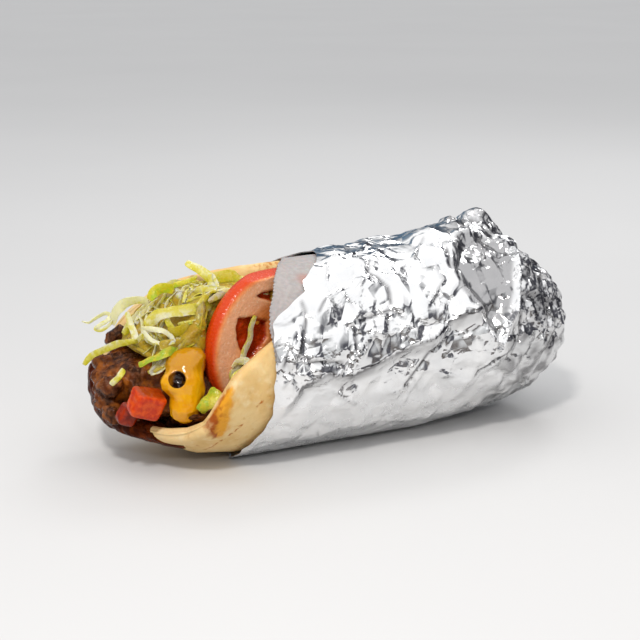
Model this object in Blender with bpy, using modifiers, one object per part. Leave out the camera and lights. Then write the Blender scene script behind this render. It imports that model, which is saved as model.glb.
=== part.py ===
"""A pita rolled round meat, lettuce, cheese and tomato, in a paper liner and a crumpled foil wrap.

The wrap lies along X: its open end points to -X and its bunched foil tail to +X.
Lengths are in millimetres until the last step, which scales them to metres.
An angle round the wrap is 0 at the bottom and grows towards the front, which is -Y.
"""

import math
import random

import bmesh
import bpy
import numpy as np
from mathutils import Matrix, Vector, noise

MM = 0.001
SEED = 7
GAP = 0.3

# The tube that the pita's outer skin follows: x, half width, half height, height of its underside.
STATIONS = (
    (-90, 44.0, 33.5, 20.0),
    (-75, 42.0, 32.5, 11.5),
    (-60, 40.0, 35.5, 4.6),
    (-45, 38.8, 36.6, 2.2),
    (0, 39.5, 36.8, 2.2),
    (36, 40.0, 37.0, 2.2),
    (56, 39.6, 36.6, 4.0),
    (70, 39.0, 36.0, 6.2),
    (92, 34.5, 29.5, 10.6),
    (112, 33.0, 26.0, 15.2),
)
FLAT_SAG = 1.1
CAP_START = 78.0
CAP_END = 112.5
CAP_POWER = 2.6
MOUTH_X = -38.0

PITA_RADIUS = 100.0
PITA_THICKNESS = 6.0
PITA_RIM_BEVEL = 1.7
SHARP_ANGLE = math.radians(50)
SOFT_ANGLE = math.radians(40)
PITA_CENTRE_X = 15.0
PITA_CENTRE_ROUND = -9.5
PITA_BEND_RADIUS = 38.5
PITA_TUCK_X = 40.0
PITA_TUCK = 0.75
# How far the bread's edge stands out of a circle: degrees round its middle, length.
PITA_EDGE = (
    (0, 0), (138, 0), (143, -4), (148, -7.5), (156, -7.5), (164, -5), (172, -2), (180, 0),
    (206, 0.5), (221, 4), (229, 7), (235, 7), (241, 5), (248, 2.5), (256, 0), (360, 0),
)

# Edges of the two outer sheets at the mouth: degrees round the wrap, x.
PAPER_THICKNESS = 0.5
PAPER_OFFSET = 0.6
PAPER_BACK_X = 24.0
PAPER_TOOTH = 0.7
PAPER_ROW_POWER = 1.4
PAPER_EDGE = (
    (62, -33), (80, -37), (92, -38), (122, -38), (134, -35.5), (144, -31.5),
    (156, -27.5), (172, -20.5), (195, -9.5), (216, -12), (236, -21), (256, -30),
)
FOIL_INNER = 1.45
FOIL_OUTER = 2.2
STRAIGHT_SHARE = 0.68
FOIL_CORE_START = -60.0
FOIL_CORE_END = 99.0
FOIL_EDGE = (
    (0, -41), (20, -46), (42, -46.9), (53, -43), (62, -40.7), (71, -39.7), (82, -39.1),
    (101, -38.4), (114, -37.4), (124, -36), (129, -33), (133, -28), (137, -24), (142, -18.5),
    (150, -16), (161, -8.5), (171, -3), (188, 3), (206, -3), (226, -15), (250, -27),
    (280, -32), (320, -35), (345, -38), (360, -41),
)

# Creases of the foil. A zone is where a value rises from 0 to 1: degrees from the bottom, or x.
FLOOR_ZONE = (14, 34)
ROUGH_ZONE = (24, 78)
UPPER_ZONE = (100, 170)
LOW_ROUGHNESS = 0.18
CRUMPLE_CELL = 15.0
CRUMPLE_HEIGHT = 1.9
TAIL_ZONE = (56, 72)
TAIL_CELL = 11.0
TAIL_HEIGHT = 4.2
TAIL_LOW_SHARE = 0.35
# Soft peaks: place (x, degrees), length along x, span in degrees, height.
FOIL_PEAKS = (((84.5, 190), 7, 14, 8.0), ((38, 203), 7, 6, 3.0))
RIDGE_LINE = (
    (-36, 74), (-28.5, 88), (-17.5, 94), (-9, 90), (2, 94), (16, 100), (30, 104),
    (40, 112), (61, 118),
)
RIDGE_HEIGHT = 2.4
RIDGE_EASE = 14.0
RIDGE_DROP = 6.0
POCKET_LEFT = ((51.5, 108), (46, 128), (47, 146), (59.5, 169), (76, 172))
POCKET_RIGHT = ((84.5, 154), (80.5, 140), (76.5, 128), (72, 115), (65.5, 102), (60.5, 90))
POCKET_PATCH_START = (38, 56)
POCKET_PATCH_END = (84, 98)
POCKET_PATCH_RISE = (66, 96)
POCKET_DEPTH = 3.0
POCKET_FLOOR = 1.14
POCKET_SLOPE = 7.0
POCKET_RIM = 2.0
POCKET_RIM_WIDTH = 2.6

TOMATO_RADIUS = 32.0
TOMATO_THICKNESS = 8.0
TOMATO_BEVEL = 1.5
TOMATO_ROOM = 0.9
TOMATO_CENTRE = (-23.5, -7.0, 43.0)
TOMATO_TURN = math.radians(12)
SEED_POCKETS = 4
SEED_POCKET_RADIUS = 15.0
SEED_POCKET_TURN = math.radians(152)
SEED_POCKET_HALF = (8.7, 9.2, 3.0)

# Soft balls (centre, radius) that melt into one drop, and the bubble burst in it.
CHEESE_BALLS = (
    ((-64, -13.5, 43.5), 8.0), ((-66.5, -18.5, 36.5), 6.6), ((-67.5, -20.5, 27), 6.2),
    ((-73, -19.5, 37.5), 4.0), ((-62.5, -18.5, 33), 4.2),
)
CHEESE_FIRMNESS = 2.0
CHEESE_REACH = 60.0
CHEESE_HOLE = (-71.3, -22.6, 39.5)
CHEESE_HOLE_RADIUS = 3.3

# Tomato dice: centre, size, turns about X, Y and Z.
DICE = {
    "tomato_dice_1": ((-82.3, -17.3, 29.9), (12.5, 8.5, 12), (0.3, 0.35, 0.2)),
    "tomato_dice_2": ((-86.1, -9.2, 24.0), (8.5, 6, 9), (0.3, 0.5, 0.2)),
}

DIE_UNEVEN = (0.8, 1.1)
DIE_BEVEL = 1.6

BEEF_TOP = 40.5
BEEF_TOP_DROP = 17.0
BEEF_END_X = -88.0
BEEF_ROUND_X = -66.0
BEEF_TAIL_X = 92.0
BEEF_ROOM = 1.0
BEEF_DROP_ZONE = (6, 24)
BEEF_OPEN_ZONE = (-30, -5)
BEEF_AXIS = (12.0, 26.0)
# The meat's round end is drawn in at the front of the mouth, more at its top.
BEEF_FRONT_ZONE = (-12, 12)
BEEF_DRAWN_IN = (6.0, 8.0)
BEEF_DRAWN_ZONE = (12, 24)
BEEF_LUMPS = 26
BEEF_LUMP_SIZE = (5.0, 8.5)
LUMP_CLEAR = 10.0
LUMP_SPREAD = math.radians(125)
LUMP_ROWS = (0.6, 4.6)
LUMP_FORM = (1.0, 0.8, 0.65)
LUMP_UNEVEN = 0.22
LUMP_NOISE = 1.3
LUMP_UNLIKE = 3.7
LUMP_ROOM = 0.7
LUMP_STEP = 0.004
GOLDEN = 0.618
# Lumps that hang over the bread's rim at the mouth.
RIM_LUMPS = (
    ((-87, 14, 31), 6.5), ((-88.5, 8, 25), 6.5), ((-88, 1, 22), 6.5), ((-83.5, -5, 21), 6.0),
    ((-84, 22, 36), 6.5), ((-76, 30, 44), 6.0), ((-89, 3, 32), 6.0),
)

LETTUCE_BOTTOM = 43.0
LETTUCE_ROOM = 1.2
LETTUCE_END_X = -77.0
LETTUCE_ROUND_X = -60.0
LETTUCE_TAIL_X = 92.0
TAIL_ROUND_X = 70.0
MOUTH_POWER = 2.4
TAIL_POWER = 3.0
# The heap's top: its height at a place (x, y), and how it slopes from there.
HEAP_PLACE = (-72, -8, 46)
HEAP_SLOPE_X = 0.8
HEAP_SLOPE_Y = 0.6
HEAP_LEVEL_Y = 8.0
HEAP_BACK_Y = 12.0
HEAP_BACK_SLOPE = 0.3
HEAP_TOP = 66.0
# The heap's front face (y): deepest at the mouth, then behind the tomato, then out to the bread.
HEAP_FRONT_Y = -1.5
HEAP_MOUTH_FRONT = 10.0
HEAP_MOUTH_ZONE = (-57, -50)
HEAP_REAR_FRONT = 40.0
HEAP_REAR_ZONE = (-30, -8)
HEAP_AXIS = (8.0, 4.0)
PRESS = 0.03
SHRED_THICKNESS = 0.9
SHRED_TWIST = 0.6
SHRED_END = 0.55
SHRED_ROOM = 0.8
SHRED_STEP = 0.03
PHOTO_SIDE = Vector((-0.45, -0.86, 0.25))
SMALL_SHREDS = 6
SMALL_SHRED_X = (-62, 34)
SMALL_SHRED_Y = (2, 20)
SMALL_SHRED_HALF = (8, 13)
SMALL_SHRED_LIFT = (-1.5, 2)
SMALL_SHRED_WIDTH = (3, 5.5)
SMALL_SHRED_ROLL = (0.8, 2.2)

# The strips that show most: width, turn about their length, places along them.
SHREDS = (
    (5.0, 0.0, ((-51, 14, 76), (-47, 10, 73), (-44, 6, 70), (-44, 2, 67), (-43, 0, 63))),
    (7.0, 0.3, ((-71, 2, 65), (-67, 8, 67.5), (-56, 12, 67.5), (-47, 14, 67))),
    (6.0, 0.2, ((-48, -3, 63), (-60, -6, 63), (-67, -6, 61), (-72, -4, 58), (-76, -2, 55))),
    (5.0, -0.2, ((-78, -4, 56), (-75, -7, 54), (-71, -8, 52), (-65, -8, 49))),
    (3.5, 0.4, ((-79, 8, 59), (-79, 6, 54), (-79, 2, 50), (-74, -2, 53))),
    (4.5, 0.3, ((-93, 22, 36), (-90, 20, 41), (-86, 15, 45), (-81, 8, 47), (-70, 0, 52))),
    (2.6, 0.5, ((-91.5, 26, 54), (-88, 26, 52), (-83, 26, 54), (-80, 25, 55.5), (-82, 24, 52),
                (-86, 24, 49.5), (-83.5, 22, 49.5), (-79.5, 21, 52), (-78.5, 20, 57),
                (-76.5, 18, 60), (-72, 15, 60), (-66, 12, 55))),
    (4.0, -0.3, ((-81, -8, 43), (-76, -12, 46), (-70, -13, 48), (-63, -10, 48.5))),
    (7.0, 0.2, ((-66, -9, 52), (-60, -9, 54), (-55, -7, 54))),
    (3.0, 0.5, ((-60, 0, 63), (-55, 2, 67.5), (-51, 4, 68))),
    (5.0, 0.0, ((-51, 0, 70), (-50.5, -2, 66), (-50, -3, 62))),
    (6.0, -0.6, ((-44, 10, 69), (-34.5, 8, 69), (-26, 8, 68))),
    (3.0, 0.6, ((-66, -2, 57), (-65, -4, 56), (-66, -5, 53))),
    (5.0, 0.4, ((-62, 3, 64), (-59, 3, 66), (-57, 0, 62))),
)
TOMATO_SHRED = (
    (-34.2, -14.3, 58), (-36.4, -14.7, 54), (-36.8, -14.8, 49.5), (-39.3, -15.4, 45),
    (-40.8, -15.7, 42), (-42.5, -16.0, 38.6), (-45.8, -16.7, 37), (-45.5, -16.7, 33.3),
)
TOMATO_SHRED_WIDTH = 3.0
LETTUCE_BIT_WIDTH = 6.0
LETTUCE_TIP_WIDTH = 2.6
LETTUCE_BIT = ((-56.5, -27, 34.5), (-60, -27.5, 31), (-64, -27, 27))
LETTUCE_TIP = ((-90.5, -3, 35), (-88.5, -6, 38.5), (-86, -5, 41))

COLOURS = {
    "foil_wrap": ((0.86, 0.87, 0.88), 0.28, 1.0),
    "paper_liner": ((0.74, 0.70, 0.72), 0.75, 0.0),
    "pita": ((0.78, 0.60, 0.38), 0.65, 0.0),
    "beef_filling": ((0.13, 0.045, 0.016), 0.4, 0.0),
    "lettuce_heap": ((0.66, 0.70, 0.30), 0.5, 0.0),
    "tomato_slice": ((0.72, 0.10, 0.03), 0.3, 0.0),
    "tomato_dice_1": ((0.70, 0.09, 0.02), 0.25, 0.0),
    "tomato_dice_2": ((0.45, 0.05, 0.015), 0.25, 0.0),
    "cheese_melt": ((0.83, 0.41, 0.02), 0.2, 0.0),
    "lettuce_shred": ((0.70, 0.62, 0.32), 0.5, 0.0),
    "lettuce_bit": ((0.55, 0.62, 0.16), 0.5, 0.0),
    "lettuce_tip": ((0.70, 0.66, 0.34), 0.5, 0.0),
}


def smooth(low, high, value):
    """0 below low, 1 above high, and an S-shaped rise between them."""
    t = min(max((value - low) / (high - low), 0.0), 1.0)
    return t * t * (3 - 2 * t)


def pressed_down(value, limit):
    """The value, squeezed almost flat where it is over the limit."""
    return min(value, limit + PRESS * (value - limit))


def pressed_up(value, limit):
    """The value, squeezed almost flat where it is under the limit."""
    return max(value, limit + PRESS * (value - limit))


def profile(x):
    """Half width, half height, underside height and end closing factor of the tube at x."""
    at = [station[0] for station in STATIONS]
    half_width, half_height, under = (
        float(np.interp(x, at, [station[i] for station in STATIONS])) for i in (1, 2, 3)
    )
    t = min(max((x - CAP_START) / (CAP_END - CAP_START), 0.0), 1.0)
    return half_width, half_height, under, (1 - t**CAP_POWER) ** (1 / CAP_POWER)


def skin(x, angle, offset=0.0):
    """The point at x and this angle round the tube, this far outside the pita's outer skin."""
    half_width, half_height, under, close = profile(x)
    middle = under + half_height - FLAT_SAG
    y = -(half_width * close + offset) * math.sin(angle)
    z = middle - (half_height * close + offset) * math.cos(angle)
    return Vector((x, y, max(z, under - offset)))


def tube_place(point):
    """The angle round the tube of a point, and about how far outside the tube's skin it is."""
    half_width, half_height, under, _ = profile(point.x)
    across = -point.y / half_width
    down = (under + half_height - FLAT_SAG - point.z) / half_height
    reach = (math.hypot(across, down) - 1) * (half_width + half_height) / 2
    return math.atan2(across, down), reach


def along_table(table, angle):
    """The value at this angle of a table of (degrees, value)."""
    degrees = math.degrees(angle) % 360
    return float(np.interp(degrees, [row[0] for row in table], [row[1] for row in table]))


def make(name, bm, collection):
    """A mesh object from bm, with its faces turned out."""
    bm.normal_update()
    bmesh.ops.recalc_face_normals(bm, faces=bm.faces)
    mesh = bpy.data.meshes.new(name)
    bm.to_mesh(mesh)
    bm.free()
    obj = bpy.data.objects.new(name, mesh)
    collection.objects.link(obj)
    return obj


def reshape(obj, place):
    """Move every point of the object to where place() puts it."""
    for vertex in obj.data.vertices:
        vertex.co = place(vertex.co)


def apply_modifiers(obj):
    """Replace the object's mesh by what its modifiers make of it."""
    bpy.context.view_layer.update()
    evaluated = obj.evaluated_get(bpy.context.evaluated_depsgraph_get())
    mesh = bpy.data.meshes.new_from_object(evaluated)
    obj.modifiers.clear()
    old = obj.data
    obj.data = mesh
    bpy.data.meshes.remove(old)


def keep_largest(obj):
    """Drop loose scraps and sealed hollows: keep the body that holds the most."""
    bm = bmesh.new()
    bm.from_mesh(obj.data)
    bmesh.ops.triangulate(bm, faces=bm.faces)
    unseen = set(bm.faces)
    bodies = []
    while unseen:
        body = [unseen.pop()]
        for face in body:
            for edge in face.edges:
                for other in edge.link_faces:
                    if other in unseen:
                        unseen.discard(other)
                        body.append(other)
        corners = [[vertex.co for vertex in face.verts] for face in body]
        bodies.append((sum(a.dot(b.cross(c)) for a, b, c in corners), body))
    bodies.sort(key=lambda pair: pair[0], reverse=True)
    scraps = [face for _, body in bodies[1:] for face in body]
    bmesh.ops.delete(bm, geom=scraps, context="FACES")
    bm.to_mesh(obj.data)
    bm.free()


def boolean(obj, operation, tools, solver="EXACT"):
    """Join or cut the object with the others, apply that, and remove them."""
    together = bpy.data.collections.new(obj.name + "_tools")
    bpy.context.scene.collection.children.link(together)
    for tool in tools:
        for collection in tuple(tool.users_collection):
            collection.objects.unlink(tool)
        together.objects.link(tool)
    modifier = obj.modifiers.new("Boolean", "BOOLEAN")
    modifier.operation = operation
    modifier.operand_type = "COLLECTION"
    modifier.collection = together
    modifier.solver = solver
    apply_modifiers(obj)
    for tool in tools:
        bpy.data.objects.remove(tool)
    bpy.data.collections.remove(together)
    keep_largest(obj)


def tube_body(name, collection, rows, columns, place):
    """A closed body: a sphere's rows go along the wrap and its columns round it."""
    bm = bmesh.new()
    made = bmesh.ops.create_uvsphere(bm, u_segments=columns, v_segments=rows, radius=1)
    for vertex in made["verts"]:
        along = math.acos(min(max(-vertex.co.z, -1.0), 1.0)) / math.pi
        vertex.co = place(round(along * rows), math.atan2(vertex.co.y, vertex.co.x))
    return make(name, bm, collection)


def laid_flat(x, degrees):
    """A place on the tube's skin laid flat: x, and the length round the tube from its bottom."""
    return Vector((x, math.radians(degrees) * PITA_BEND_RADIUS))


def line_distance(place, line):
    """Distance to a line of places on the flat skin, and the side: above it is positive."""
    best = (math.inf, 1.0)
    for start, end in zip(line, line[1:]):
        way = end - start
        t = min(max((place - start).dot(way) / way.length_squared, 0.0), 1.0)
        away = place - (start + way * t)
        if away.length < best[0]:
            best = (away.length, math.copysign(1.0, way.x * away.y - way.y * away.x))
    return best


def inside(place, line):
    """Whether the place is inside the closed line."""
    found = False
    for start, end in zip(line, line[1:] + line[:1]):
        if (start.y > place.y) != (end.y > place.y):
            if place.x < start.x + (end.x - start.x) * (place.y - start.y) / (end.y - start.y):
                found = not found
    return found


def crumple(point, cell, shift):
    """Flat facets that meet in creases: 0 in the valleys and up to 1 on the ridges."""
    spot = point / cell + Vector((shift, 0, 0))
    near = noise.voronoi(spot, distance_metric="DISTANCE_SQUARED")[0]
    return min(near[1] - near[0], 1.0)


def bump(x, degrees, place, length, span):
    """A soft bump round a place (x, degrees) of the skin."""
    return math.exp(-(((x - place[0]) / length) ** 2) - ((degrees - place[1]) / span) ** 2)


def foil_relief(x, angle):
    """How far the crumpled foil stands out of its smooth tube."""
    degrees = math.degrees(angle) % 360
    from_bottom = min(degrees, 360 - degrees)
    off_floor = smooth(*FLOOR_ZONE, from_bottom)
    rough = LOW_ROUGHNESS * off_floor + (1 - LOW_ROUGHNESS) * smooth(*ROUGH_ZONE, from_bottom)
    upper = TAIL_LOW_SHARE * off_floor + (1 - TAIL_LOW_SHARE) * smooth(*UPPER_ZONE, from_bottom)
    point = skin(x, angle, FOIL_OUTER)
    height = CRUMPLE_HEIGHT * rough * crumple(point, CRUMPLE_CELL, 3)
    height += TAIL_HEIGHT * smooth(*TAIL_ZONE, x) * upper * crumple(point, TAIL_CELL, 9)
    for place, length, span, peak in FOIL_PEAKS:
        height += peak * bump(x, degrees, place, length, span)
    return max(height + ridge_relief(x, degrees) + pocket_relief(x, degrees), 0.0)


def ridge_relief(x, degrees):
    """The long fold down the front: it eases away above and drops sharply below."""
    line = [laid_flat(*row) for row in RIDGE_LINE]
    away, side = line_distance(laid_flat(x, degrees), line)
    ends = smooth(line[0].x - 4, line[0].x + 2, x) * (1 - smooth(line[-1].x, line[-1].x + 10, x))
    slope = math.exp(-away / RIDGE_EASE) if side > 0 else 1 - smooth(0, RIDGE_DROP, away)
    return RIDGE_HEIGHT * ends * slope


def pocket_relief(x, degrees):
    """The scooped fold at the tail: a dent in a raised patch, with a thin rim to its right."""
    place = laid_flat(x, degrees)
    rim = [laid_flat(*row) for row in POCKET_RIGHT]
    outline = [laid_flat(*row) for row in POCKET_LEFT] + rim
    from_bottom = min(degrees, 360 - degrees)
    patch = smooth(*POCKET_PATCH_START, x) * (1 - smooth(*POCKET_PATCH_END, x))
    raised = POCKET_DEPTH * patch * smooth(*POCKET_PATCH_RISE, from_bottom)
    dent = 0.0
    if inside(place, outline):
        away = line_distance(place, outline)[0]
        dent = (raised + POCKET_FLOOR) * smooth(0, POCKET_SLOPE, away)
    return raised - dent + POCKET_RIM * (1 - smooth(0, POCKET_RIM_WIDTH, line_distance(place, rim)[0]))


def foil_station(share, start):
    """x along the foil from its mouth to its tip, in even steps over the rounded end."""
    if share < STRAIGHT_SHARE:
        return start + (CAP_START - start) * share / STRAIGHT_SHARE
    turn = (share - STRAIGHT_SHARE) / (1 - STRAIGHT_SHARE) * math.pi / 2
    return CAP_START + (CAP_END - CAP_START) * math.sin(turn) ** (2 / CAP_POWER)


def foil_wrap(collection):
    """The outer sheet: crumpled outside, smooth inside, open at the mouth, solid at its tail."""
    rows, columns, core_rows, core_columns = 28, 42, 13, 26
    jitter = 0.3
    draw = random.Random(SEED)
    middle = profile(CAP_END)[2] + profile(CAP_END)[1] - FLAT_SAG

    def outside(row, angle):
        if row == 0:
            return Vector((MOUTH_X, 0, middle))
        if row == rows:
            return Vector((CAP_END + FOIL_OUTER, 0, middle))
        start = along_table(FOIL_EDGE, angle)
        share = (row - 1) / (rows - 1)
        if 1 < row < rows - 1:
            share += draw.uniform(-jitter, jitter) / rows
            angle += draw.uniform(-jitter, jitter) * math.tau / columns
        x = foil_station(share, start)
        lean = smooth(CAP_START, CAP_END, x)
        side = Vector((0, -math.sin(angle), -math.cos(angle)))
        way = (side * (1 - lean) + Vector((lean, 0, 0))).normalized()
        return skin(x, angle, FOIL_OUTER) + way * foil_relief(x, angle) * smooth(0, 2.5, row)

    def core(row, angle):
        if row in (0, core_rows):
            return Vector((FOIL_CORE_END if row else FOIL_CORE_START, 0, middle))
        turn = (row - 1) / (core_rows - 2) * math.pi / 2
        x = FOIL_CORE_START + (FOIL_CORE_END - FOIL_CORE_START) * math.sin(turn)
        return skin(x, angle, FOIL_INNER)

    foil = tube_body("foil_wrap", collection, rows, columns, outside)
    hollow = tube_body("foil_hollow", collection, core_rows, core_columns, core)
    boolean(foil, "DIFFERENCE", [hollow])


def paper_liner(collection):
    """The thin sheet between bread and foil, with a toothed edge at the mouth."""
    columns, rows = 40, 4
    first, last = math.radians(PAPER_EDGE[0][0]), math.radians(PAPER_EDGE[-1][0])
    bm = bmesh.new()
    made = bmesh.ops.create_grid(bm, x_segments=columns, y_segments=rows, size=1)
    for vertex in made["verts"]:
        around = (vertex.co.x + 1) / 2
        along = (vertex.co.y + 1) / 2
        angle = first + (last - first) * around
        edge = along_table(PAPER_EDGE, angle)
        if along < 0.5 / rows:
            edge += PAPER_TOOTH * (round(around * columns) % 2)
        vertex.co = skin(edge + (PAPER_BACK_X - edge) * along**PAPER_ROW_POWER, angle, PAPER_OFFSET)
    paper = make("paper_liner", bm, collection)
    solidify = paper.modifiers.new("Sheet", "SOLIDIFY")
    solidify.thickness = PAPER_THICKNESS
    solidify.offset = 0
    apply_modifiers(paper)


def pita(collection, name, grow=0.0):
    """The round flat bread, bent into a tray at the open end and a tube further in."""
    cells = 22
    bm = bmesh.new()
    made = bmesh.ops.create_grid(bm, x_segments=cells, y_segments=cells, size=1)
    for vertex in made["verts"]:
        u, v, _ = vertex.co
        on_disc = Vector((u * math.sqrt(1 - v * v / 2), v * math.sqrt(1 - u * u / 2), 0))
        reach = bread_reach(math.atan2(on_disc.y, on_disc.x)) + grow
        vertex.co = on_disc * reach + Vector((PITA_CENTRE_X, PITA_CENTRE_ROUND, grow))
    bread = make(name, bm, collection)
    solidify = bread.modifiers.new("Thickness", "SOLIDIFY")
    solidify.thickness = PITA_THICKNESS + 2 * grow
    solidify.offset = -1
    bevel = bread.modifiers.new("Soft rim", "BEVEL")
    bevel.width = PITA_RIM_BEVEL
    bevel.segments = 1
    bevel.limit_method = "ANGLE"
    bevel.angle_limit = SHARP_ANGLE
    apply_modifiers(bread)
    reshape(bread, bent)
    return bread


def bread_reach(turn):
    """How far the flat bread's uneven edge is from its middle, this way round."""
    return PITA_RADIUS + along_table(PITA_EDGE, turn)


def bent(point):
    """A point of the flat bread, bent round the tube. The far end is tucked in."""
    x = point.x if point.x < PITA_TUCK_X else PITA_TUCK_X + (point.x - PITA_TUCK_X) * PITA_TUCK
    half_width, half_height, _, _ = profile(x)
    return skin(x, 2 * point.y / (half_width + half_height), point.z)


def bread_depth(point, angle):
    """How far inside the bread's edge a point of the tube lies, along the bread."""
    half_width, half_height, _, _ = profile(point.x)
    along = point.x
    if along > PITA_TUCK_X:
        along = PITA_TUCK_X + (along - PITA_TUCK_X) / PITA_TUCK
    along -= PITA_CENTRE_X
    around = angle * (half_width + half_height) / 2 - PITA_CENTRE_ROUND
    return bread_reach(math.atan2(around, along)) - math.hypot(along, around)


def tucked(point, room):
    """The point, brought inside the bread or, where the bread is open at the top, the paper."""
    angle, offset = tube_place(point)
    depth = bread_depth(point, angle)
    inner = -room - PITA_THICKNESS * smooth(-5, -1, depth)
    if offset <= inner or (point.x < MOUTH_X and depth < -1):
        return point
    half_width, half_height, under, _ = profile(point.x)
    radius = (half_width + half_height) / 2
    share = (radius + inner) / (radius + offset)
    middle = under + half_height - FLAT_SAG
    return Vector((point.x, point.y * share, max(middle + (point.z - middle) * share, under - inner)))


def tomato_slice(collection, name, grow=0.0):
    """A thick round slice with seed pockets in both faces, standing along the wrap."""
    radius = TOMATO_RADIUS + grow
    bm = bmesh.new()
    bmesh.ops.create_cone(
        bm, cap_ends=True, segments=36, depth=TOMATO_THICKNESS + 2 * grow,
        radius1=radius, radius2=radius,
    )
    rims = [edge for edge in bm.edges if edge.calc_face_angle() > SHARP_ANGLE]
    bmesh.ops.bevel(bm, geom=rims, offset=TOMATO_BEVEL, segments=2, affect="EDGES", profile=0.5)
    tomato = make(name, bm, collection)
    if not grow:
        boolean(tomato, "DIFFERENCE", seed_pockets(collection))
    upright = Matrix.Rotation(TOMATO_TURN, 4, "Z") @ Matrix.Rotation(math.pi / 2, 4, "X")
    tomato.data.transform(Matrix.Translation(TOMATO_CENTRE) @ upright)
    reshape(tomato, lambda point: tucked(point, TOMATO_ROOM - grow))
    return tomato


def seed_pockets(collection):
    """Shallow hollows between the slice's spokes, on both faces."""
    draw = random.Random(SEED)
    pockets = []
    for index in range(2 * SEED_POCKETS):
        turn = SEED_POCKET_TURN + math.tau * (index // 2) / SEED_POCKETS
        uneven = draw.uniform(0.93, 1.0)
        size = Matrix.Diagonal([half * uneven for half in SEED_POCKET_HALF] + [1])
        side = TOMATO_THICKNESS / 2 * (1 if index % 2 else -1)
        place = Matrix.Rotation(turn, 4, "Z") @ Matrix.Translation((SEED_POCKET_RADIUS, 0, side))
        bm = bmesh.new()
        bmesh.ops.create_uvsphere(bm, u_segments=10, v_segments=6, radius=1, matrix=place @ size)
        pockets.append(make("seed_pocket", bm, collection))
    return pockets


def cheese_melt(collection, name, grow=0.0):
    """Melted cheese that hangs over the meat in one thick drop, with a burst bubble."""
    centres = [Vector(centre) for centre, _ in CHEESE_BALLS]
    middle = sum(centres, Vector()) / len(centres)
    level = math.exp(-CHEESE_FIRMNESS)

    def field(point):
        return sum(
            math.exp(-CHEESE_FIRMNESS * ((point - centre).length / radius) ** 2)
            for centre, (_, radius) in zip(centres, CHEESE_BALLS)
        )

    bm = bmesh.new()
    bmesh.ops.create_uvsphere(bm, u_segments=18, v_segments=12, radius=1)
    bmesh.ops.triangulate(bm, faces=bm.faces, quad_method="FIXED")
    for vertex in bm.verts:
        way = vertex.co.normalized()
        near, far = 0.0, CHEESE_REACH
        for _ in range(24):
            half = (near + far) / 2
            if field(middle + way * half) > level:
                near = half
            else:
                far = half
        vertex.co = middle + way * (near + grow)
    cheese = make(name, bm, collection)
    if not grow:
        bm = bmesh.new()
        place = Matrix.Translation(CHEESE_HOLE)
        bmesh.ops.create_icosphere(bm, subdivisions=2, radius=CHEESE_HOLE_RADIUS, matrix=place)
        boolean(cheese, "DIFFERENCE", [make("bubble", bm, collection)])
    return cheese


def tomato_die(collection, name, grow=0.0):
    """A cut cube of tomato, uneven and soft at its edges, leaning on the meat."""
    centre, size, turns = DICE[name]
    draw = random.Random(name)
    bm = bmesh.new()
    bmesh.ops.create_cube(bm, size=1)
    for vertex in bm.verts:
        uneven = [draw.uniform(*DIE_UNEVEN) for _ in size]
        vertex.co = [a * b * (c + 2 * grow) for a, b, c in zip(vertex.co, uneven, size)]
    bmesh.ops.bevel(bm, geom=bm.edges[:], offset=DIE_BEVEL, segments=2, affect="EDGES", profile=0.5)
    die = make(name if not grow else name + "_grown", bm, collection)
    turn = Matrix.Identity(4)
    for axis, angle in zip("XYZ", turns):
        turn = Matrix.Rotation(angle, 4, axis) @ turn
    die.data.transform(Matrix.Translation(centre) @ turn)
    return die


def on_path(points, share):
    """Place and direction on a smooth curve through the points."""
    spot = min(share, 0.9999) * (len(points) - 1)
    index = int(spot)
    t = spot - index
    last = len(points) - 1
    a, b, c, d = (Vector(points[min(max(index + step, 0), last)]) for step in (-1, 0, 1, 2))
    square = 2 * a - 5 * b + 4 * c - d
    cube = 3 * b - a - 3 * c + d
    place = 0.5 * (2 * b + (c - a) * t + square * t * t + cube * t**3)
    way = 0.5 * ((c - a) + 2 * square * t + 3 * cube * t * t)
    return place, way.normalized()


def shred(
    collection, name, path, width, roll=0.0, twist=SHRED_TWIST, grow=0.0, room=1.0, facing=PHOTO_SIDE
):
    """A strip of lettuce along the path, turned about it by roll and a slow twist."""
    cells = 3 + len(path)
    bm = bmesh.new()
    made = bmesh.ops.create_grid(bm, x_segments=cells, y_segments=1, size=1)
    for vertex in made["verts"]:
        share = (vertex.co.x + 1) / 2
        place, way = on_path(path, share)
        across = way.cross(facing).normalized()
        across.rotate(Matrix.Rotation(roll + twist * math.sin(5 * share + width), 3, way))
        taper = SHRED_END + (1 - SHRED_END) * math.sin(math.pi * share) ** 0.5
        end = way * (grow * math.copysign(1, vertex.co.x))
        vertex.co = place + across * (vertex.co.y * (width / 2 * taper + grow))
        if share in (0, 1):
            vertex.co += end
        if room:
            vertex.co = tucked(vertex.co, room)
    strip = make(name, bm, collection)
    solidify = strip.modifiers.new("Thickness", "SOLIDIFY")
    solidify.thickness = SHRED_THICKNESS + 2 * grow
    solidify.offset = 0
    apply_modifiers(strip)
    return strip


def tomato_shred(collection, name, grow=0.0):
    """The strip that clings to the tomato's face."""
    face = Vector((math.sin(TOMATO_TURN), -math.cos(TOMATO_TURN), 0))
    width = TOMATO_SHRED_WIDTH
    return shred(collection, name, TOMATO_SHRED, width, twist=0, grow=grow, room=0, facing=face)


def lettuce_bit(collection, name, grow=0.0):
    """The short piece wedged between cheese and bread."""
    return shred(collection, name, LETTUCE_BIT, LETTUCE_BIT_WIDTH, grow=grow)


def lettuce_tip(collection, name, grow=0.0):
    """The small tip that lies on the meat."""
    return shred(collection, name, LETTUCE_TIP, LETTUCE_TIP_WIDTH, grow=grow, room=0)


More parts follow.
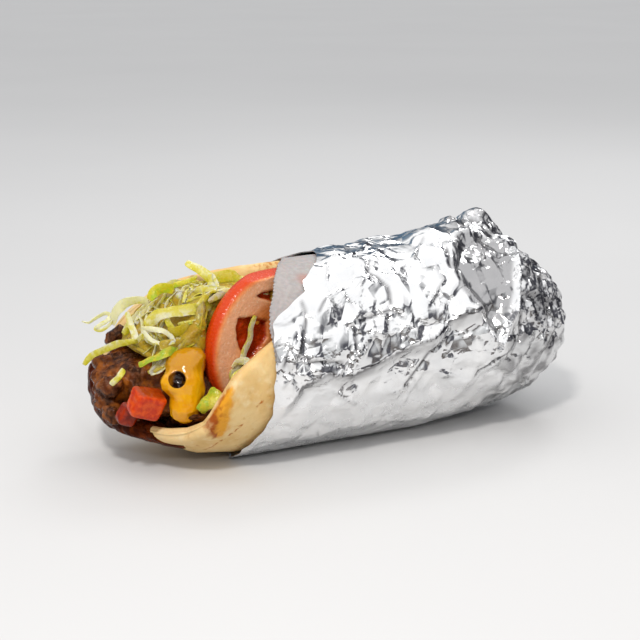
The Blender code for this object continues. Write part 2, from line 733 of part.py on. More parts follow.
def closing(x, end, round_x, tail):
    """How wide a filling is at x, from 0 at its two round ends to 1 between them."""
    mouth = min(max((round_x - x) / (round_x - end), 0), 1)
    far = min(max((x - TAIL_ROUND_X) / (tail - TAIL_ROUND_X), 0), 1)
    return math.sqrt(1 - mouth**MOUTH_POWER) * math.sqrt(1 - far**TAIL_POWER), mouth


def even_ends(row, rows, start, end):
    """x of a row, with the rows closer together towards both ends."""
    return start + (end - start) * (1 - math.cos(row / rows * math.pi)) / 2


def beef_core(row, rows, angle, grow):
    """The meat's plain form: the lower half of the wrap, lower still at the front of the mouth."""
    x = even_ends(row, rows, BEEF_END_X, BEEF_TAIL_X)
    close, mouth = closing(x, BEEF_END_X, BEEF_ROUND_X, BEEF_TAIL_X)
    point = skin(x, angle, -PITA_THICKNESS - BEEF_ROOM)
    opening = 1 - smooth(*BEEF_OPEN_ZONE, x)
    top = BEEF_TOP - BEEF_TOP_DROP * smooth(*BEEF_DROP_ZONE, -point.y) * opening
    point.z = pressed_down(point.z, top)
    axis = Vector((x, BEEF_AXIS[0] * mouth, BEEF_AXIS[1]))
    spot = axis + (point - axis) * close
    drawn_in = BEEF_DRAWN_IN[0] + BEEF_DRAWN_IN[1] * smooth(*BEEF_DRAWN_ZONE, spot.z)
    spot.x += mouth * smooth(*BEEF_FRONT_ZONE, -spot.y) * drawn_in
    return spot + (point - axis).normalized() * grow


def beef_filling(collection, name, grow=0.0):
    """Chopped meat in sauce: a core along the lower half of the wrap, with lumps at the mouth."""
    rows = 15
    beef = tube_body(name, collection, rows, 20, lambda row, angle: beef_core(row, rows, angle, grow))
    draw = random.Random(SEED)
    toppings = [Vector(centre) for centre, _, _ in DICE.values()]
    toppings += [Vector(centre) for centre, _ in CHEESE_BALLS]
    places = [(Vector(centre), reach) for centre, reach in RIM_LUMPS]
    for index in range(BEEF_LUMPS):
        angle = LUMP_SPREAD * (2 * (index + 0.5) / BEEF_LUMPS - 1)
        row = LUMP_ROWS[0] + (LUMP_ROWS[1] - LUMP_ROWS[0]) * (index * GOLDEN % 1)
        centre = beef_core(row, rows, angle, 0)
        reach = draw.uniform(*BEEF_LUMP_SIZE)
        clear = min((centre - topping).length for topping in toppings) > LUMP_CLEAR
        if clear and bread_depth(centre, tube_place(centre)[0]) > reach / 2:
            places.append((centre, reach))
    lumps = [
        meat_lump(collection, centre, reach, index, grow)
        for index, (centre, reach) in enumerate(places)
    ]
    boolean(beef, "UNION", lumps, "MANIFOLD")
    return beef


def meat_lump(collection, centre, reach, index, grow):
    """One uneven lump of chopped meat, kept inside the bread."""
    draw = random.Random(index)
    size = Matrix.Diagonal([reach * share + grow for share in LUMP_FORM] + [1])
    tilt = Vector((draw.random(), draw.random(), 1))
    turn = Matrix.Rotation(draw.uniform(0, math.tau), 4, tilt)
    bm = bmesh.new()
    bmesh.ops.create_icosphere(bm, subdivisions=1, radius=1)
    for vertex in bm.verts:
        unlike = Vector((index * LUMP_UNLIKE, 0, 0))
        vertex.co *= 1 + LUMP_UNEVEN * noise.noise(vertex.co * LUMP_NOISE + unlike)
        vertex.co = tucked(centre + turn @ size @ vertex.co, LUMP_ROOM - grow - LUMP_STEP * index)
    return make("lump", bm, collection)


def heap_top(x, y):
    """Height of the lettuce core: it slopes down to the mouth and to the front."""
    at_x, at_y, height = HEAP_PLACE
    height += HEAP_SLOPE_X * (x - at_x) + HEAP_SLOPE_Y * (min(y, HEAP_LEVEL_Y) - at_y)
    return min(height - HEAP_BACK_SLOPE * max(y - HEAP_BACK_Y, 0), HEAP_TOP)


def lettuce_core(row, rows, angle):
    """The heart of the lettuce: the upper half of the wrap, behind the tomato."""
    x = even_ends(row, rows, LETTUCE_END_X, LETTUCE_TAIL_X)
    close, _ = closing(x, LETTUCE_END_X, LETTUCE_ROUND_X, LETTUCE_TAIL_X)
    point = skin(x, angle, -PITA_THICKNESS - LETTUCE_ROOM)
    front = HEAP_FRONT_Y - HEAP_MOUTH_FRONT * (1 - smooth(*HEAP_MOUTH_ZONE, x))
    point.y = pressed_up(point.y, front - HEAP_REAR_FRONT * smooth(*HEAP_REAR_ZONE, x))
    point.z = pressed_up(pressed_down(point.z, heap_top(x, point.y)), LETTUCE_BOTTOM)
    axis = Vector((x, HEAP_AXIS[0], LETTUCE_BOTTOM + HEAP_AXIS[1]))
    return axis + (point - axis) * close


def lettuce_heap(collection, name):
    """Shredded lettuce: strips fused to a smaller core that runs through the wrap."""
    rows = 18
    heap = tube_body(name, collection, rows, 20, lambda row, angle: lettuce_core(row, rows, angle))
    strips = []
    for width, roll, path in SHREDS:
        room = SHRED_ROOM + SHRED_STEP * len(strips)
        strips.append(shred(collection, "strip", path, width, roll, room=room))
    draw = random.Random(SEED)
    for index in range(SMALL_SHREDS):
        x = SMALL_SHRED_X[0] + SMALL_SHRED_X[1] * (index * GOLDEN % 1)
        middle = Vector((x, draw.uniform(*SMALL_SHRED_Y), 0))
        turn = draw.uniform(0, math.pi)
        way = Vector((math.cos(turn), math.sin(turn), 0)) * draw.uniform(*SMALL_SHRED_HALF)
        path = []
        for step in (-1, -0.4, 0.3, 1):
            there = middle + way * step
            there.z = heap_top(there.x, there.y) + draw.uniform(*SMALL_SHRED_LIFT)
            path.append(there)
        width, roll = draw.uniform(*SMALL_SHRED_WIDTH), draw.uniform(*SMALL_SHRED_ROLL)
        room = SHRED_ROOM + SHRED_STEP * len(strips)
        strips.append(shred(collection, "strip", path, width, roll, room=room))
    boolean(heap, "UNION", strips, "MANIFOLD")
    return heap


def give_material(obj):
    """A Principled material with the node's colour, roughness and metallic value."""
    colour, roughness, metallic = COLOURS[obj.name]
    material = bpy.data.materials.new(obj.name)
    material.use_nodes = True
    shader = material.node_tree.nodes["Principled BSDF"]
    shader.inputs["Base Color"].default_value = (*colour, 1)
    shader.inputs["Roughness"].default_value = roughness
    shader.inputs["Metallic"].default_value = metallic
    material.diffuse_color = (*colour, 1)
    obj.data.materials.clear()
    obj.data.materials.append(material)


def finish(objects):
    """Scale to metres, stand the whole on its own middle, and shade the soft pieces smooth."""
    corners = [vertex.co for obj in objects for vertex in obj.data.vertices]
    low = Vector(min(corner[i] for corner in corners) for i in range(3))
    high = Vector(max(corner[i] for corner in corners) for i in range(3))
    base = Vector(((low.x + high.x) / 2, (low.y + high.y) / 2, low.z))
    for obj in objects:
        obj.data.transform(Matrix.Scale(MM, 4) @ Matrix.Translation(-base))
        give_material(obj)
        if obj.name not in ("foil_wrap", "lettuce_heap"):
            obj.data.shade_smooth()
            obj.data.set_sharp_from_angle(angle=SOFT_ANGLE)


def main():
    for obj in tuple(bpy.data.objects):
        bpy.data.objects.remove(obj)
    wrap = bpy.data.collections.new("greek_taco")
    bpy.context.scene.collection.children.link(wrap)
    foil_wrap(wrap)
    paper_liner(wrap)
    toppings = {
        "pita": pita,
        "tomato_slice": tomato_slice,
        "cheese_melt": cheese_melt,
        "lettuce_shred": tomato_shred,
        "lettuce_bit": lettuce_bit,
        "lettuce_tip": lettuce_tip,
    }
    for name, maker in toppings.items():
        maker(wrap, name)
    for name in DICE:
        tomato_die(wrap, name)

    def grown():
        made = [maker(wrap, name + "_grown", grow=GAP) for name, maker in toppings.items()]
        return made + [tomato_die(wrap, name, grow=GAP) for name in DICE]

    beef = beef_filling(wrap, "beef_filling")
    boolean(beef, "DIFFERENCE", grown(), "MANIFOLD")
    lettuce = lettuce_heap(wrap, "lettuce_heap")
    fillings = grown() + [beef_filling(wrap, "beef_grown", grow=GAP)]
    boolean(lettuce, "DIFFERENCE", fillings, "MANIFOLD")
    finish(tuple(wrap.objects))


main()
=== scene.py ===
# %% [markdown]
# # A filled pita in paper and foil
# This lesson dresses the solid model of a rolled pita sandwich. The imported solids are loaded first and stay
# where they are: every finer piece below is made round them, stands for one of them, and keeps its form.

# %% Load the solids
import math
import random

import bpy
import numpy as np
from mathutils import Matrix, Vector, noise
from mathutils.bvhtree import BVHTree


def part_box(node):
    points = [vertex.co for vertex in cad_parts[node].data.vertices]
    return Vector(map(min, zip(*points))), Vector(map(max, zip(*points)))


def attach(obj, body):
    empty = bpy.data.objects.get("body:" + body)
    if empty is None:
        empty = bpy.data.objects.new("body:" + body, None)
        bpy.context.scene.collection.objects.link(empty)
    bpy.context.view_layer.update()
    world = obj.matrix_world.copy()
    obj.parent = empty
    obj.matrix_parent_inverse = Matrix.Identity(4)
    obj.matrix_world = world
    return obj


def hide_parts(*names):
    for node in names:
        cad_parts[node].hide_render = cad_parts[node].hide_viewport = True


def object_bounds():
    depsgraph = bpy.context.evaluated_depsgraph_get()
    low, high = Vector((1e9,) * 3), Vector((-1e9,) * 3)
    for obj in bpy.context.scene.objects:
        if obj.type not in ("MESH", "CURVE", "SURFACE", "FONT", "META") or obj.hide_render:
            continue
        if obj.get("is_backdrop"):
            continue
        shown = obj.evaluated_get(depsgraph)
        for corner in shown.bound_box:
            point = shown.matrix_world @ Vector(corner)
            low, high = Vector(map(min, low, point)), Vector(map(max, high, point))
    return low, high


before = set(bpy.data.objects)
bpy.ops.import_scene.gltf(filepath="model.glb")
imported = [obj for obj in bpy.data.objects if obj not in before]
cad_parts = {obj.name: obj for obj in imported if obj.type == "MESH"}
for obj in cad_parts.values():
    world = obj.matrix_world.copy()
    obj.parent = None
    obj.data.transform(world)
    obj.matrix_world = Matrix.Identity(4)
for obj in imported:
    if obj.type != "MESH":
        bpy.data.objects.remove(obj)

cad_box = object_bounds()
print("solids:", ", ".join(sorted(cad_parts)))

# %% [markdown]
# The pieces are drawn in millimetres, in the drawing's own frame, and brought to metres and to the middle
# of the whole at the end. BASE is that middle. Numpy moves thousands of points at once, so each shape is a
# function of arrays: how far along the wrap a point is, and its angle round it, from the bottom to the front.

# %% Units and small helpers
MM = 0.001
BASE = Vector((10.1852, -0.4766, 0.0))


def smooth(low, high, value):
    """0 below low, 1 above high, and an S-shaped rise between them."""
    t = np.clip((value - low) / (high - low), 0.0, 1.0)
    return t * t * (3 - 2 * t)


def in_drawing(point):
    """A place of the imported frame, in millimetres of the drawing."""
    return Vector(point) / MM + BASE


foil_mouth = in_drawing(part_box("foil_wrap")[0]).x
print(f"the foil starts at x {foil_mouth:.2f} mm of the drawing")

# %% [markdown]
# ## Camera, floor and light
# The photograph looks down a little on the open end, from its left. A long lens keeps the far end of the
# wrap nearly as tall as the near one. The floor is one wide pale disc, so that no edge of it shows. Foil is
# a mirror full of creases: it looks as bright as what it reflects. So most light comes from a bright sky
# that darkens towards the horizon, and three dark patches in it, behind the wrap and past both its ends,
# draw the grey veins in the foil. Small soft panels give the wet food its points of light.

# %% Camera
AZIMUTH, ELEVATION = math.radians(-28), math.radians(14.5)
back = Vector((
    math.sin(AZIMUTH) * math.cos(ELEVATION),
    -math.cos(AZIMUTH) * math.cos(ELEVATION),
    math.sin(ELEVATION),
))
aim = (Vector((2.0, 0.0, 48.7)) - BASE) * MM
camera = bpy.data.objects.new("camera", bpy.data.cameras.new("camera"))
bpy.context.scene.collection.objects.link(camera)
camera.location = aim + back * 0.62
camera.rotation_euler = back.to_track_quat("Z", "Y").to_euler()
camera.data.angle = math.radians(24)
camera.data.clip_start = 0.01
bpy.context.scene.camera = camera
print("camera at", [round(value, 3) for value in camera.location])


# %% Node helpers
def node(tree, kind, **sockets):
    """A shader node of this kind, with values set on its inputs by name."""
    made = tree.nodes.new("ShaderNode" + kind)
    for name, value in sockets.items():
        made.inputs[name].default_value = value
    return made


def math_node(tree, operation, first, second=0.0):
    """One sum of two sockets or numbers."""
    made = tree.nodes.new("ShaderNodeMath")
    made.operation = operation
    for socket, value in zip(made.inputs, (first, second)):
        if isinstance(value, (int, float)):
            socket.default_value = value
        else:
            tree.links.new(value, socket)
    return made.outputs[0]


def spread(tree, value, low, high, start=0.0, end=1.0):
    """The value's stretch from low to high, eased from start to end."""
    made = node(tree, "MapRange", **{"From Min": low, "From Max": high, "To Min": start, "To Max": end})
    made.interpolation_type = "SMOOTHSTEP"
    tree.links.new(value, made.inputs["Value"])
    return made.outputs["Result"]


def blend_colours(tree, mask, low, high):
    """One colour where the mask is 0 and the other where it is 1."""
    made = tree.nodes.new("ShaderNodeMix")
    made.data_type = "RGBA"
    tree.links.new(mask, made.inputs[0])
    for socket, colour in zip((made.inputs[6], made.inputs[7]), (low, high)):
        if isinstance(colour, tuple):
            socket.default_value = (*colour, 1.0)
        else:
            tree.links.new(colour, socket)
    return made.outputs[2]


# %% Floor
bpy.ops.object.select_all(action="DESELECT")
bpy.ops.mesh.primitive_circle_add(vertices=96, radius=9.0, fill_type="NGON")
floor = bpy.context.active_object
floor.name = "floor"
paint = bpy.data.materials.new("floor")
paint.use_nodes = True
tree = paint.node_tree
place = tree.nodes.new("ShaderNodeTexCoord").outputs["Object"]
grain = node(tree, "TexNoise", Scale=3.0, Detail=3.0)
tree.links.new(place, grain.inputs["Vector"])
shade = blend_colours(tree, grain.outputs["Fac"], (0.60, 0.60, 0.60), (0.64, 0.64, 0.638))
surface = tree.nodes["Principled BSDF"]
surface.inputs["Roughness"].default_value = 1.0
surface.inputs["Specular IOR Level"].default_value = 0.0
tree.links.new(shade, surface.inputs["Base Color"])
floor.data.materials.append(paint)
floor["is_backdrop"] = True

# %% Light
sky = bpy.data.worlds.new("studio")
bpy.context.scene.world = sky
sky.use_nodes = True
tree = sky.node_tree
way = tree.nodes.new("ShaderNodeTexCoord").outputs["Generated"]
parts = tree.nodes.new("ShaderNodeSeparateXYZ")
tree.links.new(way, parts.inputs[0])
height = parts.outputs["Z"]
colour = blend_colours(tree, spread(tree, height, 0.06, 0.40), (0.15, 0.13, 0.12), (0.78, 0.79, 0.80))
colour = blend_colours(tree, spread(tree, height, 0.38, 0.70), colour, (1.30, 1.30, 1.31))
# Each dark patch: the axis it lies on, where it starts and is full, the heights it fades over, its colour.
patches = (
    ("Y", 0.35, 0.8, 0.2, 0.5, (0.13, 0.22, 0.32)),
    ("X", 0.25, 0.8, 0.35, 0.75, (0.10, 0.10, 0.12)),
    ("X", -0.35, -0.85, 0.25, 0.55, (0.24, 0.24, 0.26)),
)
for axis, first, full, low, high, dark in patches:
    there = spread(tree, parts.outputs[axis], first, full)
    there = math_node(tree, "MULTIPLY", there, spread(tree, height, low, high, 1.0, 0.0))
    colour = blend_colours(tree, there, colour, dark)
tree.links.new(colour, tree.nodes["Background"].inputs["Color"])
tree.nodes["Background"].inputs["Strength"].default_value = 0.85


LAMPS_FACE = Vector((0, 0, 0.04))


def soft_panel(name, place, size, power, colour=(1.0, 1.0, 1.0)):
    """A square lamp that faces the wrap."""
    lamp = bpy.data.lights.new(name, "AREA")
    lamp.shape = "SQUARE"
    lamp.size = size
    lamp.energy = power
    lamp.color = colour
    holder = bpy.data.objects.new(name, lamp)
    bpy.context.scene.collection.objects.link(holder)
    holder.location = place
    holder.rotation_euler = (Vector(place) - LAMPS_FACE).to_track_quat("Z", "Y").to_euler()


soft_panel("key_panel", (-0.42, -0.50, 0.80), 0.12, 4.6, (1.0, 0.96, 0.92))
soft_panel("back_panel", (0.55, 0.45, 0.75), 0.25, 1.6)
soft_panel("spark_panel", (-0.22, -0.72, 0.42), 0.05, 0.8, (1.0, 0.97, 0.94))
bpy.context.scene.view_settings.view_transform = "Standard"

# %% [markdown]
# ## The tube
# Everything follows one tube: a soft oval that lies on the floor, tapers and rounds off at the tail, and
# lifts at the mouth. The same rows of numbers as in the solids give its half width, half height and the
# height of its underside along the wrap, so a finer piece lands exactly on its solid.

# %% The tube's skin
STATIONS = np.array((
    (-90, 44.0, 33.5, 20.0), (-75, 42.0, 32.5, 11.5), (-60, 40.0, 35.5, 4.6), (-45, 38.8, 36.6, 2.2),
    (0, 39.5, 36.8, 2.2), (36, 40.0, 37.0, 2.2), (56, 39.6, 36.6, 4.0), (70, 39.0, 36.0, 6.2),
    (92, 34.5, 29.5, 10.6), (112, 33.0, 26.0, 15.2),
))
FLAT_SAG = 1.1
CAP_START, CAP_END, CAP_POWER = 78.0, 112.5, 2.6
MOUTH_X = -38.0


def profile(x):
    """Half width, half height, underside height and end closing factor of the tube at x."""
    half_width, half_height, under = (np.interp(x, STATIONS[:, 0], STATIONS[:, i]) for i in (1, 2, 3))
    t = np.clip((x - CAP_START) / (CAP_END - CAP_START), 0.0, 1.0)
    return half_width, half_height, under, (1 - t**CAP_POWER) ** (1 / CAP_POWER)


def skin(x, angle, offset=0.0):
    """Points at x and this angle round the tube, this far outside the bread's outer skin."""
    half_width, half_height, under, close = profile(x)
    middle = under + half_height - FLAT_SAG
    y = -(half_width * close + offset) * np.sin(angle)
    z = middle - (half_height * close + offset) * np.cos(angle)
    return np.stack([x + 0 * y, y, np.maximum(z, under - offset)], axis=-1)


print("the tube is", 2 * profile(0.0)[0], "mm wide at its middle")


# %% Points in and out of a mesh
def points_of(obj):
    """The object's points as rows of x, y and z."""
    flat = np.empty(3 * len(obj.data.vertices))
    obj.data.vertices.foreach_get("co", flat)
    return flat.reshape(-1, 3)


def normals_of(obj):
    """The normal of each point."""
    flat = np.empty(3 * len(obj.data.vertices))
    obj.data.vertices.foreach_get("normal", flat)
    return flat.reshape(-1, 3)


def put_points(obj, points):
    """Move the object's points to these rows."""
    obj.data.vertices.foreach_set("co", np.ascontiguousarray(points, float).ravel())
    obj.data.update()


def mark(obj, name, values):
    """Keep one number for each point, for the material to read."""
    obj.data.attributes.new(name, "FLOAT", "POINT").data.foreach_set("value", np.asarray(values, float))


def hold(obj):
    """Select this object alone."""
    bpy.ops.object.select_all(action="DESELECT")
    obj.select_set(True)
    bpy.context.view_layer.objects.active = obj


def added(name):
    """The object that the last operator added, with its name."""
    obj = bpy.context.active_object
    obj.name = obj.data.name = name
    return obj


def new_sphere(name, columns, rows):
    """A sphere to be reshaped, and the row and the angle of each of its points."""
    bpy.ops.object.select_all(action="DESELECT")
    bpy.ops.mesh.primitive_uv_sphere_add(segments=columns, ring_count=rows, radius=1)
    obj = added(name)
    points = points_of(obj)
    row = np.rint(np.arccos(np.clip(-points[:, 2], -1, 1)) / math.pi * rows).astype(int)
    return obj, row, np.arctan2(points[:, 1], points[:, 0])


def new_sheet(name, columns, rows):
    """A flat sheet to be reshaped, and the two shares, from 0 to 1, of each of its points."""
    bpy.ops.object.select_all(action="DESELECT")
    bpy.ops.mesh.primitive_grid_add(x_subdivisions=columns, y_subdivisions=rows, size=2)
    obj = added(name)
    points = points_of(obj)
    return obj, (points[:, 0] + 1) / 2, (points[:, 1] + 1) / 2


def apply_all(obj):
    """Apply every modifier, first to last."""
    hold(obj)
    for modifier in list(obj.modifiers):
        bpy.ops.object.modifier_apply(modifier=modifier.name)


def thicken(obj, thickness, offset=0.0):
    """Give a sheet its thickness, with its edges closed."""
    wall = obj.modifiers.new("Wall", "SOLIDIFY")
    wall.thickness = thickness
    wall.offset = offset
    apply_all(obj)


def settle(obj, material, nodes=(), crease=180):
    """Bring a piece drawn in millimetres into the frame, finish its faces, let it stand for its node."""
    obj.data.transform(Matrix.Scale(MM, 4) @ Matrix.Translation(-BASE))
    hold(obj)
    bpy.ops.object.mode_set(mode="EDIT")
    bpy.ops.mesh.select_all(action="SELECT")
    bpy.ops.mesh.normals_make_consistent(inside=False)
    bpy.ops.object.mode_set(mode="OBJECT")
    bpy.ops.object.shade_smooth_by_angle(angle=math.radians(crease))
    obj.data.materials.clear()
    obj.data.materials.append(material)
    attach(obj, "root")
    if nodes:
        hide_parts(*nodes)
    triangles = sum(len(face.vertices) - 2 for face in obj.data.polygons)
    print(f"{obj.name}: {triangles} triangles")


def wander(points, size, seed=0, octaves=3):
    """Soft noise from -1 to 1 at each point, with bumps of about this size."""
    spots = points / size + np.array((seed * 7.3, seed * 3.1, -seed * 5.7))
    return np.array([noise.fractal(spot, 1.0, 2.0, octaves) for spot in spots.tolist()])


def nearest_squares(spots):
    """The squared distances from each spot to the nearest two of many scattered points."""
    return np.array([noise.voronoi(s, distance_metric="DISTANCE_SQUARED")[0][:2] for s in spots.tolist()])


def crumple(points, cell, shift):
    """Flat facets that meet in creases: 0 in the valleys and up to 1 on the ridges."""
    near = nearest_squares(points / cell + np.array((shift, 0, 0)))
    return np.minimum(near[:, 1] - near[:, 0], 1.0)


SECOND_SET = 37.3


def folds(points, cell, shift):
    """Flat facets that meet in sharp ridges and valleys, from about -0.6 to 0.6."""
    first = nearest_squares(points / cell + shift)[:, 0]
    return first - nearest_squares(points / cell + (shift + SECOND_SET))[:, 0]


# %% [markdown]
# ## Materials from small parts
# Every finish below has a wandering change of colour and a fine relief. Both come from noise, so two node
# groups make them once, with their sizes as inputs. They work in millimetres on Object coordinates, which
# stay with the piece when it moves. Fixed values go straight onto the shader's own sockets.

# %% Node groups
def new_group(name, inputs, outputs):
    """An empty node group with these number inputs, a Vector input and number outputs."""
    group = bpy.data.node_groups.new(name, "ShaderNodeTree")
    group.interface.new_socket("Vector", in_out="INPUT", socket_type="NodeSocketVector")
    for label, value in inputs.items():
        socket = group.interface.new_socket(label, in_out="INPUT", socket_type="NodeSocketFloat")
        socket.default_value = value
    for label in outputs:
        group.interface.new_socket(label, in_out="OUTPUT", socket_type="NodeSocketFloat")
    return group, group.nodes.new("NodeGroupInput"), group.nodes.new("NodeGroupOutput")


mottle_inputs = {"Size": 4.0, "Detail": 3.0, "Low": 0.4, "High": 0.6}
mottle_group, start, end = new_group("mottle", mottle_inputs, ("Mask",))
tree = mottle_group
cloud = tree.nodes.new("ShaderNodeTexNoise")
tree.links.new(start.outputs["Vector"], cloud.inputs["Vector"])
tree.links.new(math_node(tree, "DIVIDE", 1.0, start.outputs["Size"]), cloud.inputs["Scale"])
tree.links.new(start.outputs["Detail"], cloud.inputs["Detail"])
ease = tree.nodes.new("ShaderNodeMapRange")
ease.interpolation_type = "SMOOTHSTEP"
tree.links.new(cloud.outputs["Fac"], ease.inputs["Value"])
tree.links.new(start.outputs["Low"], ease.inputs["From Min"])
tree.links.new(start.outputs["High"], ease.inputs["From Max"])
tree.links.new(ease.outputs["Result"], end.inputs["Mask"])

cells_group, start, end = new_group("cells", {"Size": 2.0, "Warp": 0.5}, ("Height", "Edge"))
tree = cells_group
bend = node(tree, "TexNoise", Detail=2.0)
tree.links.new(start.outputs["Vector"], bend.inputs["Vector"])
tree.links.new(math_node(tree, "DIVIDE", 0.7, start.outputs["Size"]), bend.inputs["Scale"])
shift = tree.nodes.new("ShaderNodeVectorMath")
shift.operation = "MULTIPLY_ADD"
tree.links.new(bend.outputs["Color"], shift.inputs[0])
strength = math_node(tree, "MULTIPLY", start.outputs["Warp"], start.outputs["Size"])
spot = tree.nodes.new("ShaderNodeCombineXYZ")
for socket in spot.inputs:
    tree.links.new(strength, socket)
tree.links.new(spot.outputs[0], shift.inputs[1])
tree.links.new(start.outputs["Vector"], shift.inputs[2])
for output, feature in (("Height", "F1"), ("Edge", "DISTANCE_TO_EDGE")):
    facets = tree.nodes.new("ShaderNodeTexVoronoi")
    facets.feature = feature
    tree.links.new(shift.outputs[0], facets.inputs["Vector"])
    tree.links.new(math_node(tree, "DIVIDE", 1.0, start.outputs["Size"]), facets.inputs["Scale"])
    tree.links.new(facets.outputs["Distance"], end.inputs[output])

facets_group, start, end = new_group("facets", {"Size": 4.0}, ("Height",))
tree = facets_group
shrink = tree.nodes.new("ShaderNodeVectorMath")
shrink.operation = "SCALE"
tree.links.new(start.outputs["Vector"], shrink.inputs[0])
tree.links.new(math_node(tree, "DIVIDE", 1.0, start.outputs["Size"]), shrink.inputs["Scale"])
squares = []
for move in (0.0, SECOND_SET):
    moved = tree.nodes.new("ShaderNodeVectorMath")
    moved.inputs[1].default_value = (move, move, move)
    tree.links.new(shrink.outputs[0], moved.inputs[0])
    nearest = node(tree, "TexVoronoi", Scale=1.0)
    tree.links.new(moved.outputs[0], nearest.inputs["Vector"])
    squares.append(math_node(tree, "MULTIPLY", nearest.outputs["Distance"], nearest.outputs["Distance"]))
tree.links.new(math_node(tree, "SUBTRACT", *squares), end.inputs["Height"])
print("node groups:", mottle_group.name, cells_group.name, facets_group.name)


# %% Material helpers
def new_material(name, roughness, **fixed):
    """A material, its node tree, its shader and its millimetre coordinates."""
    material = bpy.data.materials.new(name)
    material.use_nodes = True
    tree = material.node_tree
    shader = tree.nodes["Principled BSDF"]
    shader.inputs["Roughness"].default_value = roughness
    for socket, value in fixed.items():
        shader.inputs[socket.replace("_", " ")].default_value = value
    scale = node(tree, "Mapping", Scale=(1000, 1000, 1000))
    tree.links.new(tree.nodes.new("ShaderNodeTexCoord").outputs["Object"], scale.inputs["Vector"])
    return material, tree, shader, scale.outputs[0]


def placed(tree, group, vector, **values):
    """A node group in this material, with its own values."""
    made = tree.nodes.new("ShaderNodeGroup")
    made.node_tree = group
    tree.links.new(vector, made.inputs["Vector"])
    for label, value in values.items():
        made.inputs[label].default_value = value
    return made


def mottle(tree, vector, size, low=0.4, high=0.6, detail=3.0):
    """A soft mask of wandering patches of this size."""
    return placed(tree, mottle_group, vector, Size=size, Detail=detail, Low=low, High=high).outputs["Mask"]


def patchy(tree, vector, size, low, high, start=0.3, end=0.7):
    """A number that wanders from low to high in soft patches of this size."""
    return spread(tree, mottle(tree, vector, size, start, end), 0, 1, low, high)


def cells(tree, vector, size, warp):
    """Cells of this size: the height of each, and the distance to its edge."""
    made = placed(tree, cells_group, vector, Size=size, Warp=warp)
    return made.outputs["Height"], made.outputs["Edge"]


def facets_of(tree, vector, size):
    """Flat facets of this size that meet in sharp creases."""
    return placed(tree, facets_group, vector, Size=size).outputs["Height"]


def marked(tree, name):
    """The number that was kept for each point under this name."""
    made = tree.nodes.new("ShaderNodeAttribute")
    made.attribute_name = name
    return made.outputs["Fac"]


def layered(tree, colour, *layers):
    """The colour under layers of paint: each is a mask, and the colour where it is 1."""
    for mask, paint in layers:
        colour = blend_colours(tree, mask, colour, paint)
    return colour


def finished(tree, shader, colour, roughness, height, depth):
    """Link colour and roughness, and turn the height into a bumpy surface: depth is in millimetres."""
    tree.links.new(colour, shader.inputs["Base Color"])
    if roughness is not None:
        tree.links.new(roughness, shader.inputs["Roughness"])
    made = node(tree, "Bump", Strength=1.0, Distance=depth * MM)
    tree.links.new(height, made.inputs["Height"])
    tree.links.new(made.outputs["Normal"], shader.inputs["Normal"])


# %% [markdown]
# ## Foil
# Kitchen foil folds into flat facets that meet in sharp creases, large ones over the whole sheet and small
# ones where it was gripped. Take two sets of scattered points, and the squares of the distances to the
# nearest of each: their difference is a plane inside each cell and folds at its border, so it draws truly
# flat facets at any size. The large folds repeat those of the solid: the long ridge down the front, the
# scooped pocket at the tail and its peak. One closed sphere is wrapped over the tube: its rows run from the
# tail to the mouth, turn in over the edge, and go back inside, so the sheet has two sides and no open edge.

# %% Foil sizes
FOIL_INNER, FOIL_OUTER, FOIL_CORE_END = 1.45, 2.2, 99.0
FOIL_EDGE = np.array((
    (0, -41), (20, -46), (42, -46.9), (53, -43), (62, -40.7), (71, -39.7), (82, -39.1), (101, -38.4),
    (114, -37.4), (124, -36), (129, -33), (133, -28), (137, -24), (142, -18.5), (150, -16), (161, -8.5),
    (171, -3), (188, 3), (206, -3), (226, -15), (250, -27), (280, -32), (320, -35), (345, -38), (360, -41),
))
RIDGE_LINE = (
    (-36, 74), (-28.5, 88), (-17.5, 94), (-9, 90), (2, 94), (16, 100), (30, 104), (40, 112), (61, 118),
)
POCKET_LEFT = ((51.5, 108), (46, 128), (47, 146), (59.5, 169), (76, 172))
POCKET_RIGHT = ((84.5, 154), (80.5, 140), (76.5, 128), (72, 115), (65.5, 102), (60.5, 90))
LAID_RADIUS = 38.5
PEAK = (84.5, 190)


def laid_flat(line):
    """Places (x, degrees) of the tube's skin laid flat, in millimetres."""
    return np.array([(x, math.radians(degrees) * LAID_RADIUS) for x, degrees in line])


def line_distance(places, line):
    """Distance of each place to a line, and its side: above the line is positive."""
    best = np.full(len(places), np.inf)
    side = np.ones(len(places))
    for start, end in zip(line, line[1:]):
        way = end - start
        t = np.clip((places - start) @ way / (way @ way), 0, 1)
        away = places - start - t[:, None] * way
        length = np.hypot(away[:, 0], away[:, 1])
        nearer = length < best
        best = np.where(nearer, length, best)
        turned = way[0] * away[:, 1] - way[1] * away[:, 0]
        side = np.where(nearer, np.where(turned >= 0, 1.0, -1.0), side)
    return best, side


def inside(places, line):
    """Whether each place is inside the closed line."""
    found = np.zeros(len(places), bool)
    x, y = places[:, 0], places[:, 1]
    for start, end in zip(line, np.roll(line, -1, axis=0)):
        crosses = (start[1] > y) != (end[1] > y)
        rise = end[1] - start[1] or 1.0
        found ^= crosses & (x < start[0] + (end[0] - start[0]) * (y - start[1]) / rise)
    return found


def bump(x, degrees, place, length, span):
    """A soft bump round a place (x, degrees) of the skin."""
    return np.exp(-(((x - place[0]) / length) ** 2) - ((degrees - place[1]) / span) ** 2)
